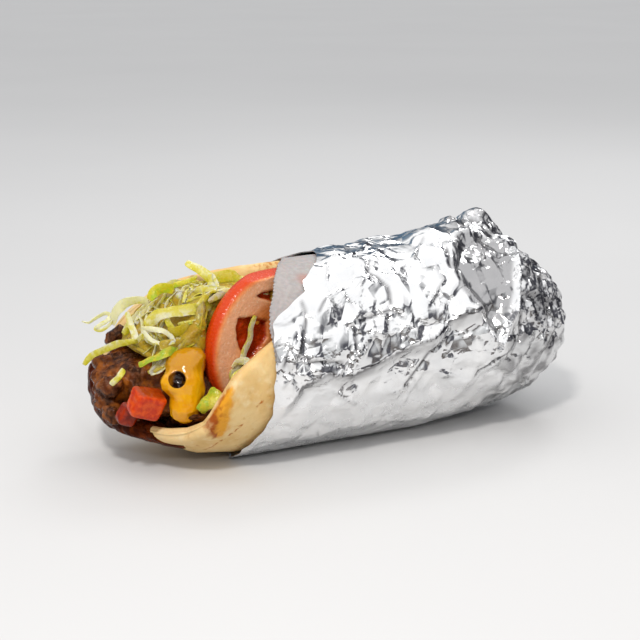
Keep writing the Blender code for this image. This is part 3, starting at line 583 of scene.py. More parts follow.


# %% [markdown]
# The creases that show most are drawn one by one: a height, a half width, and places (x, degrees round the
# wrap) along each. A raised one catches the light on one side. Along a sunk one a dark line of shade is
# painted into the colour, and a fainter one along a raised one.

# %% Creases
CREASES = (
    (-0.9, 2.4, ((-21.5, 138), (-21.6, 130), (-22.5, 123), (-24.9, 115), (-26.3, 106))),
    (0.6, 1.1, ((-2.3, 161), (-5, 152), (-8.7, 145))),
    (-0.8, 1.6, ((17.4, 163), (11.9, 149), (14.6, 144), (17, 137), (14.4, 123))),
    (0.6, 1.2, ((-4.3, 139), (-2, 131), (-1.3, 124))),
    (0.6, 0.9, ((-6.7, 141), (-5.7, 138), (-3.4, 139), (1.3, 140))),
    (-0.6, 1.4, ((-17.8, 125), (-12.7, 133), (-9.1, 137))),
    (-0.9, 1.1, ((-4.8, 119), (-3.4, 113), (-4.4, 102), (-6.8, 100))),
    (0.9, 1.0, ((-5.4, 101), (-0.5, 106), (4.9, 112))),
    (0.8, 1.0, ((-3.7, 98), (1.2, 105), (4.9, 112), (8.6, 109), (14.9, 109))),
    (-0.8, 1.8, ((-2.6, 118), (4.1, 120), (14.4, 123), (19.9, 115))),
    (0.8, 1.4, ((-6, 170), (-0.5, 166), (7.6, 167), (16.3, 172), (28.4, 188))),
    (0.8, 1.2, ((48.6, 173), (39.8, 162), (34.2, 154))),
    (0.5, 1.4, ((-23.8, 112), (-17.2, 112), (-12.1, 113))),
    (0.5, 0.8, ((-32.1, 128), (-29.5, 124))),
    (-0.6, 0.9, ((-7, 88), (-10, 84), (-13.3, 77))),
    (-1.0, 1.2, ((39.7, 104), (33.8, 99), (28.2, 95), (22.1, 85), (17, 75))),
    (0.9, 1.0, ((-26.3, 119), (-27.6, 111), (-30.8, 104), (-32.5, 96))),
    (-0.8, 1.0, ((-36, 97), (-33.8, 104), (-31, 108))),
    (-0.8, 1.4, ((-28.2, 105), (-24.5, 100), (-17.3, 99), (-9.4, 97))),
    (0.8, 0.9, ((-36.8, 86), (-33.9, 92), (-32.1, 92), (-32, 84))),
    (0.7, 1.0, ((-23.6, 86), (-16.3, 90), (-9.4, 95))),
    (0.5, 1.1, ((1.4, 137), (5.8, 141), (10, 144))),
    (-0.8, 1.0, ((64.7, 85), (58.2, 83), (53.7, 78), (49.7, 73))),
    (-1.2, 2.0, ((51.6, 158), (48.6, 146), (47.5, 139))),
    (0.9, 1.2, ((29.4, 121), (41.9, 135), (42.4, 146), (34.8, 147))),
    (0.8, 1.0, ((49.4, 131), (52.1, 120), (56.9, 106))),
    (1.8, 2.0, ((69.4, 162), (68.5, 152), (66, 143))),
    (1.2, 1.6, ((81.2, 117), (76.8, 110), (72.6, 101))),
    (-1.4, 1.8, ((94.3, 128), (92.1, 113), (85.6, 85))),
    (-1.2, 1.6, ((71.5, 113), (72.1, 105), (69.7, 86))),
)
RANDOM_CREASES = 110


def crease_table():
    """The drawn creases, and shorter ones scattered over the whole sheet."""
    table = [(height, width, laid_flat(line)) for height, width, line in CREASES]
    draw = random.Random(11)
    for _ in range(RANDOM_CREASES):
        spot = np.array((draw.uniform(-34, 88), draw.uniform(-3.0, 3.0) * LAID_RADIUS))
        turn, reach = draw.uniform(0, math.pi), draw.uniform(3, 12)
        way = np.array((math.cos(turn), math.sin(turn))) * reach
        knee = spot + np.array((draw.uniform(-2, 2), draw.uniform(-2, 2)))
        height = draw.choice((-1, 1)) * draw.uniform(0.25, 0.6)
        table.append((height, draw.uniform(0.7, 1.3), np.array((spot - way, knee, spot + way))))
    return table


def crease_relief(places):
    """Sharp tents and grooves along the creases, and the shade painted in dark lines along them."""
    around = 2 * math.pi * LAID_RADIUS
    height = np.zeros(len(places))
    vein_shade = np.zeros(len(places))
    for rise, width, line in crease_table():
        for turn in (0, around, -around):
            low = line.min(axis=0) - width
            high = line.max(axis=0) + width
            moved = places + (0, turn)
            near = np.all((moved > low) & (moved < high), axis=1)
            if not near.any():
                continue
            away, _ = line_distance(moved[near], line)
            ends = np.minimum(*(np.hypot(*(moved[near] - end).T) for end in (line[0], line[-1])))
            height[near] += rise * np.clip(1 - away / width, 0, 1) * (0.25 + 0.75 * smooth(0, 4, ends))
            depth = (0.95 if rise < 0 else 0.35) * smooth(0.1, 0.8, abs(rise)) * smooth(0, 3, ends)
            vein_shade[near] = np.maximum(vein_shade[near], depth * np.clip(1.15 - away / 0.85, 0, 1))
    return height, vein_shade


print(len(CREASES), "creases drawn,", RANDOM_CREASES, "scattered")


# %% Foil relief
def foil_relief(x, angle, edge):
    """How far the foil stands out of its smooth tube, how much painted shade and painted reflection darken
    it, and how crumpled.
    """
    degrees = np.degrees(angle) % 360
    from_bottom = np.minimum(degrees, 360 - degrees)
    off_floor = smooth(14, 34, from_bottom)
    rough = 0.18 * off_floor + 0.82 * smooth(24, 78, from_bottom)
    upper = smooth(100, 170, from_bottom)
    tail = smooth(56, 72, x)
    points = skin(x, angle, FOIL_OUTER)
    height = 1.9 * rough * crumple(points, 15.0, 3)
    height += 4.2 * tail * (0.35 * off_floor + 0.65 * upper) * crumple(points, 11.0, 9)
    height += 8 * bump(x, degrees, PEAK, 7, 14) + 3 * bump(x, degrees, (38, 203), 7, 6)
    places = np.stack([x, np.radians(degrees) * LAID_RADIUS], axis=-1)
    pocket, hidden = pocket_relief(places, from_bottom)
    height += ridge_relief(places) + pocket
    gripped = bump(x, degrees, (-30, 94), 9, 13) + bump(x, degrees, (22, 112), 10, 7)
    calm = 1 - 0.75 * bump(x, degrees, PEAK, 11, 20)
    height += 0.8 * gripped * folds(points, 6.0, 21) + 1.2 * calm * rough * folds(points, 13.0, 58)
    from_rim = line_distance(places, laid_flat(POCKET_RIGHT))[0]
    clear = 1 - 0.8 * (1 - smooth(1.5, 5, from_rim))
    height += calm * clear * tail * off_floor * 2.6 * folds(points, 8.5, 33)
    wild = np.maximum(tail * off_floor * clear * (1 - 0.85 * hidden), gripped)
    creases, vein_shade = crease_relief(places)
    height += off_floor * creases
    # band: a dark reflection painted into the colour just below the ridge.
    below, side = line_distance(places, laid_flat(RIDGE_LINE))
    band = 0.25 * (1 - smooth(2, 8, below))
    band += 0.3 * (1 - smooth(1.5, 6, below)) * smooth(-0.3, 0.3, wander(points, 7, 66))
    band += 0.4 * (1 - smooth(0.7, 1.8, below))
    band *= np.where(side < 0, smooth(-36, -30, x) * (1 - smooth(60, 66, x)), 0.0)
    # shadow: shade painted over the tail, in patches.
    shadow = tail * (0.25 + 0.6 * smooth(-0.25, 0.35, wander(points, 7, 71)))
    near_rim = 1 - smooth(0.8, 3.5, from_rim)
    # All of these darken the colour: painted shade in the creases, the pocket, over the tail and on the low,
    # smooth underside, and the painted reflection below the ridge.
    dim = np.maximum.reduce([vein_shade, 0.66 * hidden, band, shadow * (1 - hidden), 0.1 * (1 - rough)])
    flattened = 0.12 + 0.88 * smooth(0, 9, x - edge)
    return np.maximum(height, 0.0) * flattened, dim * (1 - near_rim), wild


def ridge_relief(places):
    """The long fold down the front: it eases away above and drops sharply below."""
    line = laid_flat(RIDGE_LINE)
    away, side = line_distance(places, line)
    x = places[:, 0]
    ends = smooth(line[0][0] - 4, line[0][0] + 2, x) * (1 - smooth(line[-1][0], line[-1][0] + 10, x))
    return 2.4 * ends * np.where(side > 0, np.exp(-away / 14), 1 - smooth(0, 5, away))


def pocket_relief(places, from_bottom):
    """The scooped fold at the tail: a dent in a raised patch, with a thin rim to its right."""
    rim = laid_flat(POCKET_RIGHT)
    outline = np.concatenate([laid_flat(POCKET_LEFT), rim])
    closed = np.concatenate([outline, outline[:1]])
    patch = smooth(38, 56, places[:, 0]) * (1 - smooth(84, 98, places[:, 0]))
    raised = 3.0 * patch * smooth(66, 96, from_bottom)
    within = np.where(inside(places, outline), line_distance(places, closed)[0], 0.0)
    ridge = 2.4 * (1 - smooth(0, 1.5, line_distance(places, rim)[0]))
    return raised - (raised + 2.2) * smooth(0, 9, within) + ridge, smooth(0.6, 3.0, within)


# %% Foil sheet
FOIL_ROWS, FOIL_COLUMNS, OUTER_ROWS = 300, 300, 282
STRAIGHT = 0.70

foil, row, angle = new_sphere("foil_sheet", FOIL_COLUMNS, FOIL_ROWS)
degrees = np.degrees(angle) % 360
edge = np.interp(degrees, FOIL_EDGE[:, 0], FOIL_EDGE[:, 1])
edge = edge + 0.35 * np.sin(degrees / 5.1) + 0.25 * np.sin(degrees / 1.9 + 2)
share = np.clip((OUTER_ROWS - row) / (OUTER_ROWS - 1), 0, 1)
turn = np.clip((share - STRAIGHT) / (1 - STRAIGHT), 0, 1) * math.pi / 2
x = np.where(
    share < STRAIGHT,
    edge + (CAP_START - edge) * share / STRAIGHT,
    CAP_START + (CAP_END - CAP_START) * np.sin(turn) ** (2 / CAP_POWER),
)
lean = smooth(CAP_START, CAP_END, x)
side = np.stack([0 * angle, -np.sin(angle), -np.cos(angle)], axis=-1)
way = side * (1 - lean)[:, None] + np.array((1.0, 0, 0)) * lean[:, None]
way /= np.linalg.norm(way, axis=1)[:, None]
relief, dim, wild = foil_relief(x, angle, edge)
outside = skin(x, angle, FOIL_OUTER) + way * relief[:, None]
depth = np.clip((row - OUTER_ROWS) / (FOIL_ROWS - 1 - OUTER_ROWS), 0, 1)
inner_x = edge + (FOIL_CORE_END - edge) * depth**2
inner = skin(inner_x, angle, FOIL_INNER + 0.5 * (1 - smooth(0, 0.3, depth)))
points = np.where((row <= OUTER_ROWS)[:, None], outside, inner)
middle = profile(CAP_END)[2] + profile(CAP_END)[1] - FLAT_SAG
points[row == 0] = (CAP_END + FOIL_OUTER, 0, middle)
points[row == FOIL_ROWS] = (FOIL_CORE_END, 0, middle)
put_points(foil, points)
mark(foil, "lower", 1 - smooth(64, 92, np.minimum(degrees, 360 - degrees)))
# dim: the painted shade and painted reflection, kept for the material.
mark(foil, "dim", dim)
mark(foil, "wild", wild)
print("foil spans", points.min(axis=0).round(1), points.max(axis=0).round(1))

# %% [markdown]
# Foil is bare metal: Metallic is 1 and its colour is nearly white. It is glossier above, where it was
# crumpled, and satin below, where it was pressed. Its colour is painted darker with shade along the creases,
# in the pocket, over the tail and on the underside, and with a dark reflection below the ridge. The finest
# facets are too small for the mesh and come from bump.

# %% Foil finish
foil_paint, tree, shader, mm = new_material("foil", 0.2, Metallic=1.0)
rubbed = mottle(tree, mm, 9.0, 0.35, 0.65)
colour = blend_colours(tree, rubbed, (0.88, 0.885, 0.89), (0.96, 0.96, 0.96))
# Painted shade and reflection: the marked places get a dark grey colour.
colour = blend_colours(tree, marked(tree, "dim"), colour, (0.20, 0.195, 0.20))
lower = marked(tree, "lower")
satin = math_node(tree, "MULTIPLY", lower, 0.17)
satin = math_node(tree, "ADD", spread(tree, rubbed, 0, 1, 0.09, 0.17), satin)
small = math_node(tree, "MAXIMUM", mottle(tree, mm, 14.0, 0.46, 0.62), marked(tree, "wild"))
height = math_node(tree, "MULTIPLY", facets_of(tree, mm, 11.0), 1.3)
for size, depth in ((6.0, 1.1), (2.8, 0.30)):
    deep = math_node(tree, "MULTIPLY", small, depth)
    height = math_node(tree, "ADD", height, math_node(tree, "MULTIPLY", facets_of(tree, mm, size), deep))
height = math_node(tree, "MULTIPLY", height, spread(tree, lower, 0, 1, 1.0, 0.45))
finished(tree, shader, colour, satin, height, 1.0)
settle(foil, foil_paint, ["foil_wrap"], crease=22)

# %% [markdown]
# ## Paper
# Between bread and foil lies a sheet of thin grey paper. It was torn off over a toothed blade, so its edge
# is a row of small points. A fine grid follows the same band of the tube as the solid, with five columns
# for each tooth, and Solidify closes it into a real sheet.

# %% Paper liner
PAPER_EDGE = np.array((
    (62, -33), (80, -37), (92, -38), (122, -38), (134, -35.5), (144, -31.5), (156, -27.5), (172, -20.5),
    (195, -9.5), (216, -12), (236, -21), (256, -30),
))
PAPER_BACK_X, TEETH, TOOTH = 24.0, 72, 1.7

paper, around, along = new_sheet("paper_sheet", TEETH * 5, 34)
degrees = PAPER_EDGE[0, 0] + (PAPER_EDGE[-1, 0] - PAPER_EDGE[0, 0]) * around
edge = np.interp(degrees, PAPER_EDGE[:, 0], PAPER_EDGE[:, 1])
saw = np.abs((around * TEETH) % 1 - 0.5) * 2
edge = edge + TOOTH * saw * (1 - smooth(0, 0.04, along))
x = edge + (PAPER_BACK_X - edge) * along**1.4
flat = skin(x, np.radians(degrees), 0.0)
open_part = 1 - smooth(0.0, 8.0, x - edge)
lift = 0.6 + 0.12 * wander(flat, 9, 2) + open_part * 0.7 * crumple(flat, 9, 4)
put_points(paper, skin(x, np.radians(degrees), lift))
mark(paper, "stain", np.exp(-(((x + 14.0) / 4.0) ** 2) - ((degrees - 153) / 7) ** 2))
thicken(paper, 0.22)

paper_paint, tree, shader, mm = new_material("paper", 0.7, Subsurface_Weight=0.12, Subsurface_Scale=0.002)
fibre = mottle(tree, mm, 1.6, 0.3, 0.7)
colour = blend_colours(tree, fibre, (0.355, 0.325, 0.315), (0.415, 0.38, 0.37))
soaked = spread(tree, marked(tree, "stain"), 0.15, 0.9, 0.0, 0.6)
colour = blend_colours(tree, soaked, colour, (0.42, 0.17, 0.12))
creases = math_node(tree, "MULTIPLY", facets_of(tree, mm, 3.0), 0.3)
finished(tree, shader, colour, None, math_node(tree, "ADD", facets_of(tree, mm, 7.0), creases), 0.5)
settle(paper, paper_paint, ["paper_liner"])

# %% [markdown]
# ## Bread
# The pita is a round flat bread, rolled round the filling: a tray at the mouth and a tube further in. It is
# drawn flat, as a disc of grid cells that are finer at the open end, and Solidify gives it its thickness.
# Then its points are moved: near the rim towards the middle of the dough, which rounds the edge, and
# elsewhere up and down a little, for puffs and dimples. It is bent round the tube last, as a cook rolls it.

# %% Bread sizes
PITA_RADIUS, PITA_THICKNESS = 100.0, 6.0
PITA_CENTRE = (15.0, -9.5)
PITA_TUCK_X, PITA_TUCK = 40.0, 0.75
RIM_ROUND = 2.5
PITA_EDGE = np.array((
    (0, 0), (134, 0), (141, -3), (149, -7.5), (156, -7.5), (164, -5), (172, -2), (180, 0),
    (206, 1), (221, 5.5), (229, 9), (235, 9), (241, 7), (248, 4), (256, 1), (262, 0), (360, 0),
))


def bread_reach(turn):
    """How far the flat bread's uneven edge is from its middle, this way round."""
    return PITA_RADIUS + np.interp(np.degrees(turn) % 360, PITA_EDGE[:, 0], PITA_EDGE[:, 1])


def rim_distance(along, around):
    """How far inside the flat bread's edge a place of it lies."""
    along, around = along - PITA_CENTRE[0], around - PITA_CENTRE[1]
    return bread_reach(np.arctan2(around, along)) - np.hypot(along, around)


def bent(points):
    """Points of the flat bread, bent round the tube. The far end is tucked in."""
    x = points[:, 0]
    x = np.where(x < PITA_TUCK_X, x, PITA_TUCK_X + (x - PITA_TUCK_X) * PITA_TUCK)
    half_width, half_height, _, _ = profile(x)
    return skin(x, 2 * points[:, 1] / (half_width + half_height), points[:, 2])


def tube_place(points):
    """The angle round the tube of each point, and about how far outside the tube's skin it is."""
    half_width, half_height, under, _ = profile(points[:, 0])
    across = -points[:, 1] / half_width
    down = (under + half_height - FLAT_SAG - points[:, 2]) / half_height
    return np.arctan2(across, down), (np.hypot(across, down) - 1) * (half_width + half_height) / 2


def bread_depth(points, angle):
    """How far inside the bread's edge each point of the tube lies, along the bread."""
    half_width, half_height, _, _ = profile(points[:, 0])
    along = points[:, 0]
    along = np.where(along > PITA_TUCK_X, PITA_TUCK_X + (along - PITA_TUCK_X) / PITA_TUCK, along)
    return rim_distance(along, angle * (half_width + half_height) / 2)


def tucked(points, room):
    """The points, brought inside the bread or, where the bread is open at the top, the paper."""
    angle, offset = tube_place(points)
    depth = bread_depth(points, angle)
    inner = -room - PITA_THICKNESS * smooth(-5, -1, depth)
    free = (offset <= inner) | ((points[:, 0] < MOUTH_X) & (depth < -1))
    half_width, half_height, under, _ = profile(points[:, 0])
    radius = (half_width + half_height) / 2
    share = (radius + inner) / (radius + offset)
    middle = under + half_height - FLAT_SAG
    y = points[:, 1] * share
    z = np.maximum(middle + (points[:, 2] - middle) * share, under - inner)
    moved = np.stack([points[:, 0], y, z], axis=-1)
    return np.where(free[:, None], points, moved)


# %% Bread
bread, u, v = new_sheet("bread", 210, 150)
u = 2 * u**1.5 - 1
v = 2 * v - 1
flat = np.stack([u * np.sqrt(1 - v * v / 2), v * np.sqrt(1 - u * u / 2), 0 * u], axis=-1)
way_round = np.arctan2(flat[:, 1], flat[:, 0])
reach = bread_reach(way_round) + 0.4 * np.sin(7 * way_round + 1)
put_points(bread, flat * reach[:, None] + (*PITA_CENTRE, 0))
wall = bread.modifiers.new("Thickness", "SOLIDIFY")
wall.thickness = PITA_THICKNESS
wall.offset = -1
apply_all(bread)

flat = points_of(bread)
is_inner = np.abs(flat[:, 2]) > PITA_THICKNESS / 2
flat[:, 2] = np.where(is_inner, -PITA_THICKNESS, 0)
from_rim = rim_distance(flat[:, 0], flat[:, 1])
near_rim = np.clip(RIM_ROUND - from_rim, 0, RIM_ROUND)
rounding = RIM_ROUND - np.sqrt(RIM_ROUND**2 - near_rim**2)
puff = 0.22 * wander(flat, 16, 1) + 0.13 * wander(flat, 5, 2) + 0.05 * wander(flat, 1.8, 3)
flat[:, 2] += np.where(is_inner, rounding - puff, np.minimum(puff, 0.25) - rounding)
# Each toasted streak: its line on the flat bread, its width and its strength.
streaks = (
    (((-60.2, 21.6), (-57.2, 30.6), (-53.9, 36.4), (-50.4, 41.6)), 0.55, 0.6),
    (((-45.4, 49.5), (-42.8, 52.8)), 0.6, 0.6),
    (((-66, 20), (-64, 27)), 0.6, 0.4),
    (((-47, 24), (-45, 31)), 0.6, 0.35),
)
toast = np.zeros(len(flat))
for line, width, strength in streaks:
    away, _ = line_distance(flat[:, :2], np.array(line))
    toast = np.maximum(toast, strength * (1 - smooth(0, 2 * width, away)))
back_rim = np.exp(-(((flat[:, 0] + 15) / 9) ** 2)) * smooth(-30, -60, flat[:, 1])
toast = np.where(is_inner, 0.55 * toast, toast) + 0.42 * back_rim * (1 - smooth(1, 6, from_rim))
mark(bread, "toast", toast)
soaked_line = np.array(((-59.5, 57), (-60.3, 47), (-59.8, 38)))
away, side = line_distance(flat[:, :2], soaked_line)
soak = 1 - smooth(1.0, 6.0, away + 1.0 * wander(flat, 3.0, 7))
inner_soak = is_inner * (1 - smooth(-62, -30, flat[:, 0] + 6 * wander(flat, 9, 8)))
inner_soak *= smooth(2.2, 3.4, from_rim + 0.4 * wander(flat, 4, 18))
mark(bread, "soak", np.maximum(soak * ~is_inner, 0.9 * inner_soak))
mark(bread, "deep", np.maximum(1 - smooth(-2.5, 1.5, away * side), is_inner))
flat_bread = flat.copy()
put_points(bread, bent(flat))
print("bread spans", points_of(bread).min(axis=0).round(1), points_of(bread).max(axis=0).round(1))

# %% [markdown]
# Baked dough is cream with pale flour bloom and tan patches where it touched the hot plate. The toasted
# streaks and the stain of sauce were marked on the points above, and noise breaks their edges here.

# %% Bread finish
bread_paint, tree, shader, mm = new_material(
    "bread", 0.62, Specular_IOR_Level=0.2, Subsurface_Weight=0.08, Subsurface_Scale=0.002,
)
broken = math_node(tree, "ADD", marked(tree, "toast"), patchy(tree, mm, 1.5, -0.4, 0.15))
wet = spread(tree, math_node(tree, "ADD", marked(tree, "soak"), patchy(tree, mm, 2.6, -0.15, 0.1)), 0.0, 0.75)
deep = math_node(tree, "ADD", marked(tree, "deep"), patchy(tree, mm, 3.0, -0.3, 0.3))
stain = blend_colours(tree, spread(tree, deep, 0.0, 1.0), (0.74, 0.33, 0.020), (0.36, 0.075, 0.003))
colour = layered(
    tree, (0.70, 0.46, 0.18),
    (mottle(tree, mm, 13.0, 0.35, 0.65), (0.80, 0.58, 0.275)),
    (mottle(tree, mm, 4.5, 0.5, 0.8), (0.80, 0.62, 0.34)),
    (mottle(tree, mm, 2.6, 0.60, 0.85), (0.58, 0.34, 0.10)),
    (spread(tree, broken, 0.15, 0.75), (0.46, 0.14, 0.012)),
    (wet, stain),
)
pores = math_node(tree, "MULTIPLY", cells(tree, mm, 1.1, 1.0)[0], 0.35)
height = math_node(tree, "ADD", mottle(tree, mm, 2.2, 0.2, 0.8, 5.0), pores)
finished(tree, shader, colour, spread(tree, wet, 0, 1, 0.62, 0.3), height, 0.12)

# %% [markdown]
# ## Sauce over the lip
# Red-brown sauce has run off the meat and over the tip of the bread, and hangs there in a thick drip. It is
# cut out of a copy of the bread's own skin, so it follows the rim everywhere. How far each point lies inside
# the film's ragged edge decides what is kept, and how far it swells: most in the middle, nothing at the
# edge. The largest pool is kept, pulled out past the rim, and closed with a wall that sinks into the bread.

# %% Sauce film
hold(bread)
bpy.ops.object.duplicate()
sauce = added("sauce_film")
FILM_END = 47
across = flat_bread[:, 1]
from_rim = rim_distance(flat_bread[:, 0], across)
ragged = 2.2 * wander(flat_bread, 7, 12, 1)
outer = (11.0 + 2 * np.sin(across / 5.0)) * (1 - smooth(15, 28, across))
outer = np.minimum(outer, 13.5 + 2.6 * from_rim - across)
inner_cover = from_rim - 3.4 - 7 * smooth(30, 41, across) + 12 * (1 - smooth(7, 15, across))
inner_cover = np.minimum(26.0 - from_rim, inner_cover)
from_edge = np.where(is_inner, inner_cover, outer - from_rim) + 0.7 * ragged
from_ends = np.minimum(across + FILM_END, FILM_END - across) + 0.6 * ragged
cover = np.minimum(from_edge, from_ends)
bpy.ops.object.mode_set(mode="EDIT")
bpy.ops.mesh.select_all(action="DESELECT")
bpy.ops.object.mode_set(mode="OBJECT")
sauce.data.vertices.foreach_set("select", cover < 0)
bpy.ops.object.mode_set(mode="EDIT")
bpy.ops.mesh.select_mode(type="VERT")
bpy.ops.mesh.delete(type="VERT")
bpy.ops.object.mode_set(mode="OBJECT")
kept = cover >= 0
cover, across, from_rim = cover[kept], across[kept], from_rim[kept]
thin_end = smooth(4, 11, across)
swell = -0.25 + (1.5 - 0.8 * thin_end) * smooth(0, 5 - 2.5 * thin_end, cover)
swell += 0.5 * wander(points_of(sauce), 5, 21) * smooth(0, 4, cover)
drip = smooth(0, 6, cover) * (1 - smooth(1, 9, from_rim)) * (1 - smooth(2, 11, across))
drip *= 4.2 - 2.6 * smooth(-14, 12, across)
hang = drip[:, None] * np.array((-1.0, 0, -0.35))
put_points(sauce, points_of(sauce) + normals_of(sauce) * swell[:, None] + hang)
hold(sauce)
bpy.ops.mesh.separate(type="LOOSE")
pools = sorted(bpy.context.selected_objects, key=lambda pool: len(pool.data.vertices))
sauce = pools.pop()
for pool in pools:
    bpy.data.objects.remove(pool)
sauce.name = "sauce_film"
thicken(sauce, 1.6, -1.0)

sauce_paint, tree, shader, mm = new_material("sauce", 0.14, Specular_IOR_Level=0.03)
thin = mottle(tree, mm, 4.0, 0.42, 0.72)
colour = blend_colours(tree, thin, (0.045, 0.006, 0.0005), (0.16, 0.028, 0.002))
finished(tree, shader, colour, patchy(tree, mm, 2.0, 0.10, 0.3), mottle(tree, mm, 2.4, 0.2, 0.8), 0.35)
settle(sauce, sauce_paint)
settle(bread, bread_paint, ["pita"])

# %% [markdown]
# ## Meat
# Chopped meat is a mass of uneven lumps that hold together in their sauce. The solid gives the mass and its
# big lumps. A merged copy of it gets some hundred small lumps at the open end, where it shows, clear of
# bread and toppings, and Remesh welds them into one skin. Each point then moves a little along its normal:
# cells for the grain of the meat, and noise for its torn surface, less where sauce covers it.


# %% Solids to start from
def merged_copy(name, piece):
    """A copy of a solid's mesh in millimetres of the drawing, with its loose triangles joined."""
    obj = bpy.data.objects.new(piece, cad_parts[name].data.copy())
    bpy.context.scene.collection.objects.link(obj)
    obj.data.transform(Matrix.Translation(BASE) @ Matrix.Scale(1 / MM, 4))
    hold(obj)
    bpy.ops.object.mode_set(mode="EDIT")
    bpy.ops.mesh.select_all(action="SELECT")
    bpy.ops.mesh.remove_doubles(threshold=0.0005)
    bpy.ops.object.mode_set(mode="OBJECT")
    return obj


def joined(pieces, name):
    """The pieces as one object."""
    bpy.ops.object.select_all(action="DESELECT")
    for piece in pieces:
        piece.select_set(True)
    bpy.context.view_layer.objects.active = pieces[0]
    bpy.ops.object.join()
    return added(name)


def remeshed(obj, voxel, rounds):
    """The object as one even skin of small cells, a little softened."""
    skin_cells = obj.modifiers.new("Skin", "REMESH")
    skin_cells.mode = "VOXEL"
    skin_cells.voxel_size = voxel
    soften = obj.modifiers.new("Soften", "SMOOTH")
    soften.iterations = rounds
    soften.factor = 0.5
    apply_all(obj)
    return obj


def tree_of(name):
    """A search tree of a solid's faces, in millimetres of the drawing."""
    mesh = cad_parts[name].data
    corners = [in_drawing(vertex.co) for vertex in mesh.vertices]
    return BVHTree.FromPolygons(corners, [face.vertices[:] for face in mesh.polygons])


TOPPING_NODES = ("tomato_dice_1", "tomato_dice_2", "cheese_melt", "lettuce_bit", "tomato_slice")
TOPPINGS = [tree_of(name) for name in TOPPING_NODES]

# %% Meat
SMALL_LUMPS = 190
MEAT_SHOWS_TO = -48
BREAD_GAP = 1.2
SAUCE_SHEET, SAUCE_SHEET_SIZE = (-77, -11, 38), (10.0, 8.0, 7.0)

meat = merged_copy("beef_filling", "meat")
draw = random.Random(5)
faces = [face for face in meat.data.polygons if face.center.x < MEAT_SHOWS_TO and face.normal.z > -0.6]
weights = [face.area for face in faces]
lumps = []
for face in draw.choices(faces, weights, k=SMALL_LUMPS):
    corners = [meat.data.vertices[index].co for index in face.vertices]
    first, second = sorted((draw.random(), draw.random()))
    spot = corners[0] * first + corners[1] * (second - first) + corners[2] * (1 - second)
    reach = draw.uniform(1.8, 4.0)
    centre = spot - face.normal * reach * draw.uniform(0.1, 0.6)
    where = np.array([centre])
    angle, offset = tube_place(where)
    in_bread = bread_depth(where, angle)[0] > -1 and offset[0] > -PITA_THICKNESS - 1.2 * reach
    if in_bread or min(tree.find_nearest(centre)[3] for tree in TOPPINGS) < reach * 0.7 + 0.4:
        continue
    bpy.ops.object.select_all(action="DESELECT")
    bpy.ops.mesh.primitive_ico_sphere_add(subdivisions=2, radius=1)
    lump = added("lump")
    points = points_of(lump)
    points *= (1 + 0.35 * wander(points, 1.0, draw.randint(1, 900), 2))[:, None]
    size = Matrix.Diagonal((reach, reach * draw.uniform(0.65, 0.95), reach * draw.uniform(0.6, 0.9)))
    roll = draw.uniform(0, math.tau)
    turn = Matrix.Rotation(roll, 3, Vector((draw.random(), draw.random(), draw.random() + 0.2)))
    put_points(lump, points @ np.array(turn @ size).T + np.array(centre))
    lumps.append(lump)
meat = remeshed(joined([meat, *lumps], "meat"), 0.8, 2)
points = points_of(meat)
grain = crumple(points, 2.6, 5)
torn = wander(points, 3.0, 4)
sheet = np.exp(-(((points - SAUCE_SHEET) / SAUCE_SHEET_SIZE) ** 2).sum(axis=1))
sauced = smooth(-0.1, 0.45, wander(points, 8.0, 14) + 1.2 * sheet)
points = points + normals_of(meat) * ((0.40 * grain - 0.3 + 0.35 * torn) * (1 - 0.75 * sauced))[:, None]
angle, offset = tube_place(points)
inner = -PITA_THICKNESS - BREAD_GAP
at_lip = (angle > 0.45) & (angle < 1.6) & (points[:, 0] < -50)
proud = (bread_depth(points, angle) > -9) & at_lip & (offset > inner)
points[proud] = skin(points[proud, 0], angle[proud], inner)
put_points(meat, points)
# hollow: shade painted into the crevices between the grains, less where sauce covers them.
mark(meat, "hollow", (1 - grain) * (1 - sauced))
mark(meat, "sauced", sauced)
print(len(lumps), "small lumps on the meat")

meat_paint, tree, shader, mm = new_material("meat", 0.3, Specular_IOR_Level=0.14)
glaze = blend_colours(tree, mottle(tree, mm, 3.4, 0.40, 0.66), (0.10, 0.022, 0.003), (0.30, 0.085, 0.008))
# The darkest layer is painted shade in the crevices.
colour = layered(
    tree, (0.065, 0.018, 0.006),
    (mottle(tree, mm, 3.0, 0.38, 0.62), (0.17, 0.060, 0.022)),
    (mottle(tree, mm, 1.6, 0.58, 0.74), (0.23, 0.105, 0.048)),
    (spread(tree, marked(tree, "hollow"), 0.5, 1.0, 0.0, 0.8), (0.016, 0.004, 0.001)),
    (marked(tree, "sauced"), glaze),
)
gloss = spread(tree, marked(tree, "sauced"), 0, 1, 0.26, 0.12)
finished(tree, shader, colour, gloss, mottle(tree, mm, 1.5, 0.2, 0.8), 0.3)
settle(meat, meat_paint, ["beef_filling"])

# %% [markdown]
# ## Lettuce
# Crisp lettuce is cut into strips: each is a thin curved band, whitish at the rib and greener at the leaf's
# edge. A band is a flat sheet drawn along a smooth curve, turned about it, cupped across and rippled along.
# The bands that show most follow the same curves as in the solid. Many more lie on the top and on the steep
# front of a core, which fills the wrap behind them and has the relief of pressed leaves.

# %% Bands of lettuce
PHOTO_SIDE = np.array((-0.45, -0.86, 0.25))


def on_path(path, share):
    """Place and direction on a smooth curve through the points, for each share of its length."""
    path = np.array(path, float)
    spot = np.minimum(share, 0.9999) * (len(path) - 1)
    index = spot.astype(int)
    t = (spot - index)[:, None]
    a, b, c, d = (path[np.clip(index + step, 0, len(path) - 1)] for step in (-1, 0, 1, 2))
    square = 2 * a - 5 * b + 4 * c - d
    cube = 3 * b - a - 3 * c + d
    place = 0.5 * (2 * b + (c - a) * t + square * t * t + cube * t**3)
    way = 0.5 * ((c - a) + 2 * square * t + 3 * cube * t * t)
    return place, way / np.linalg.norm(way, axis=1)[:, None]


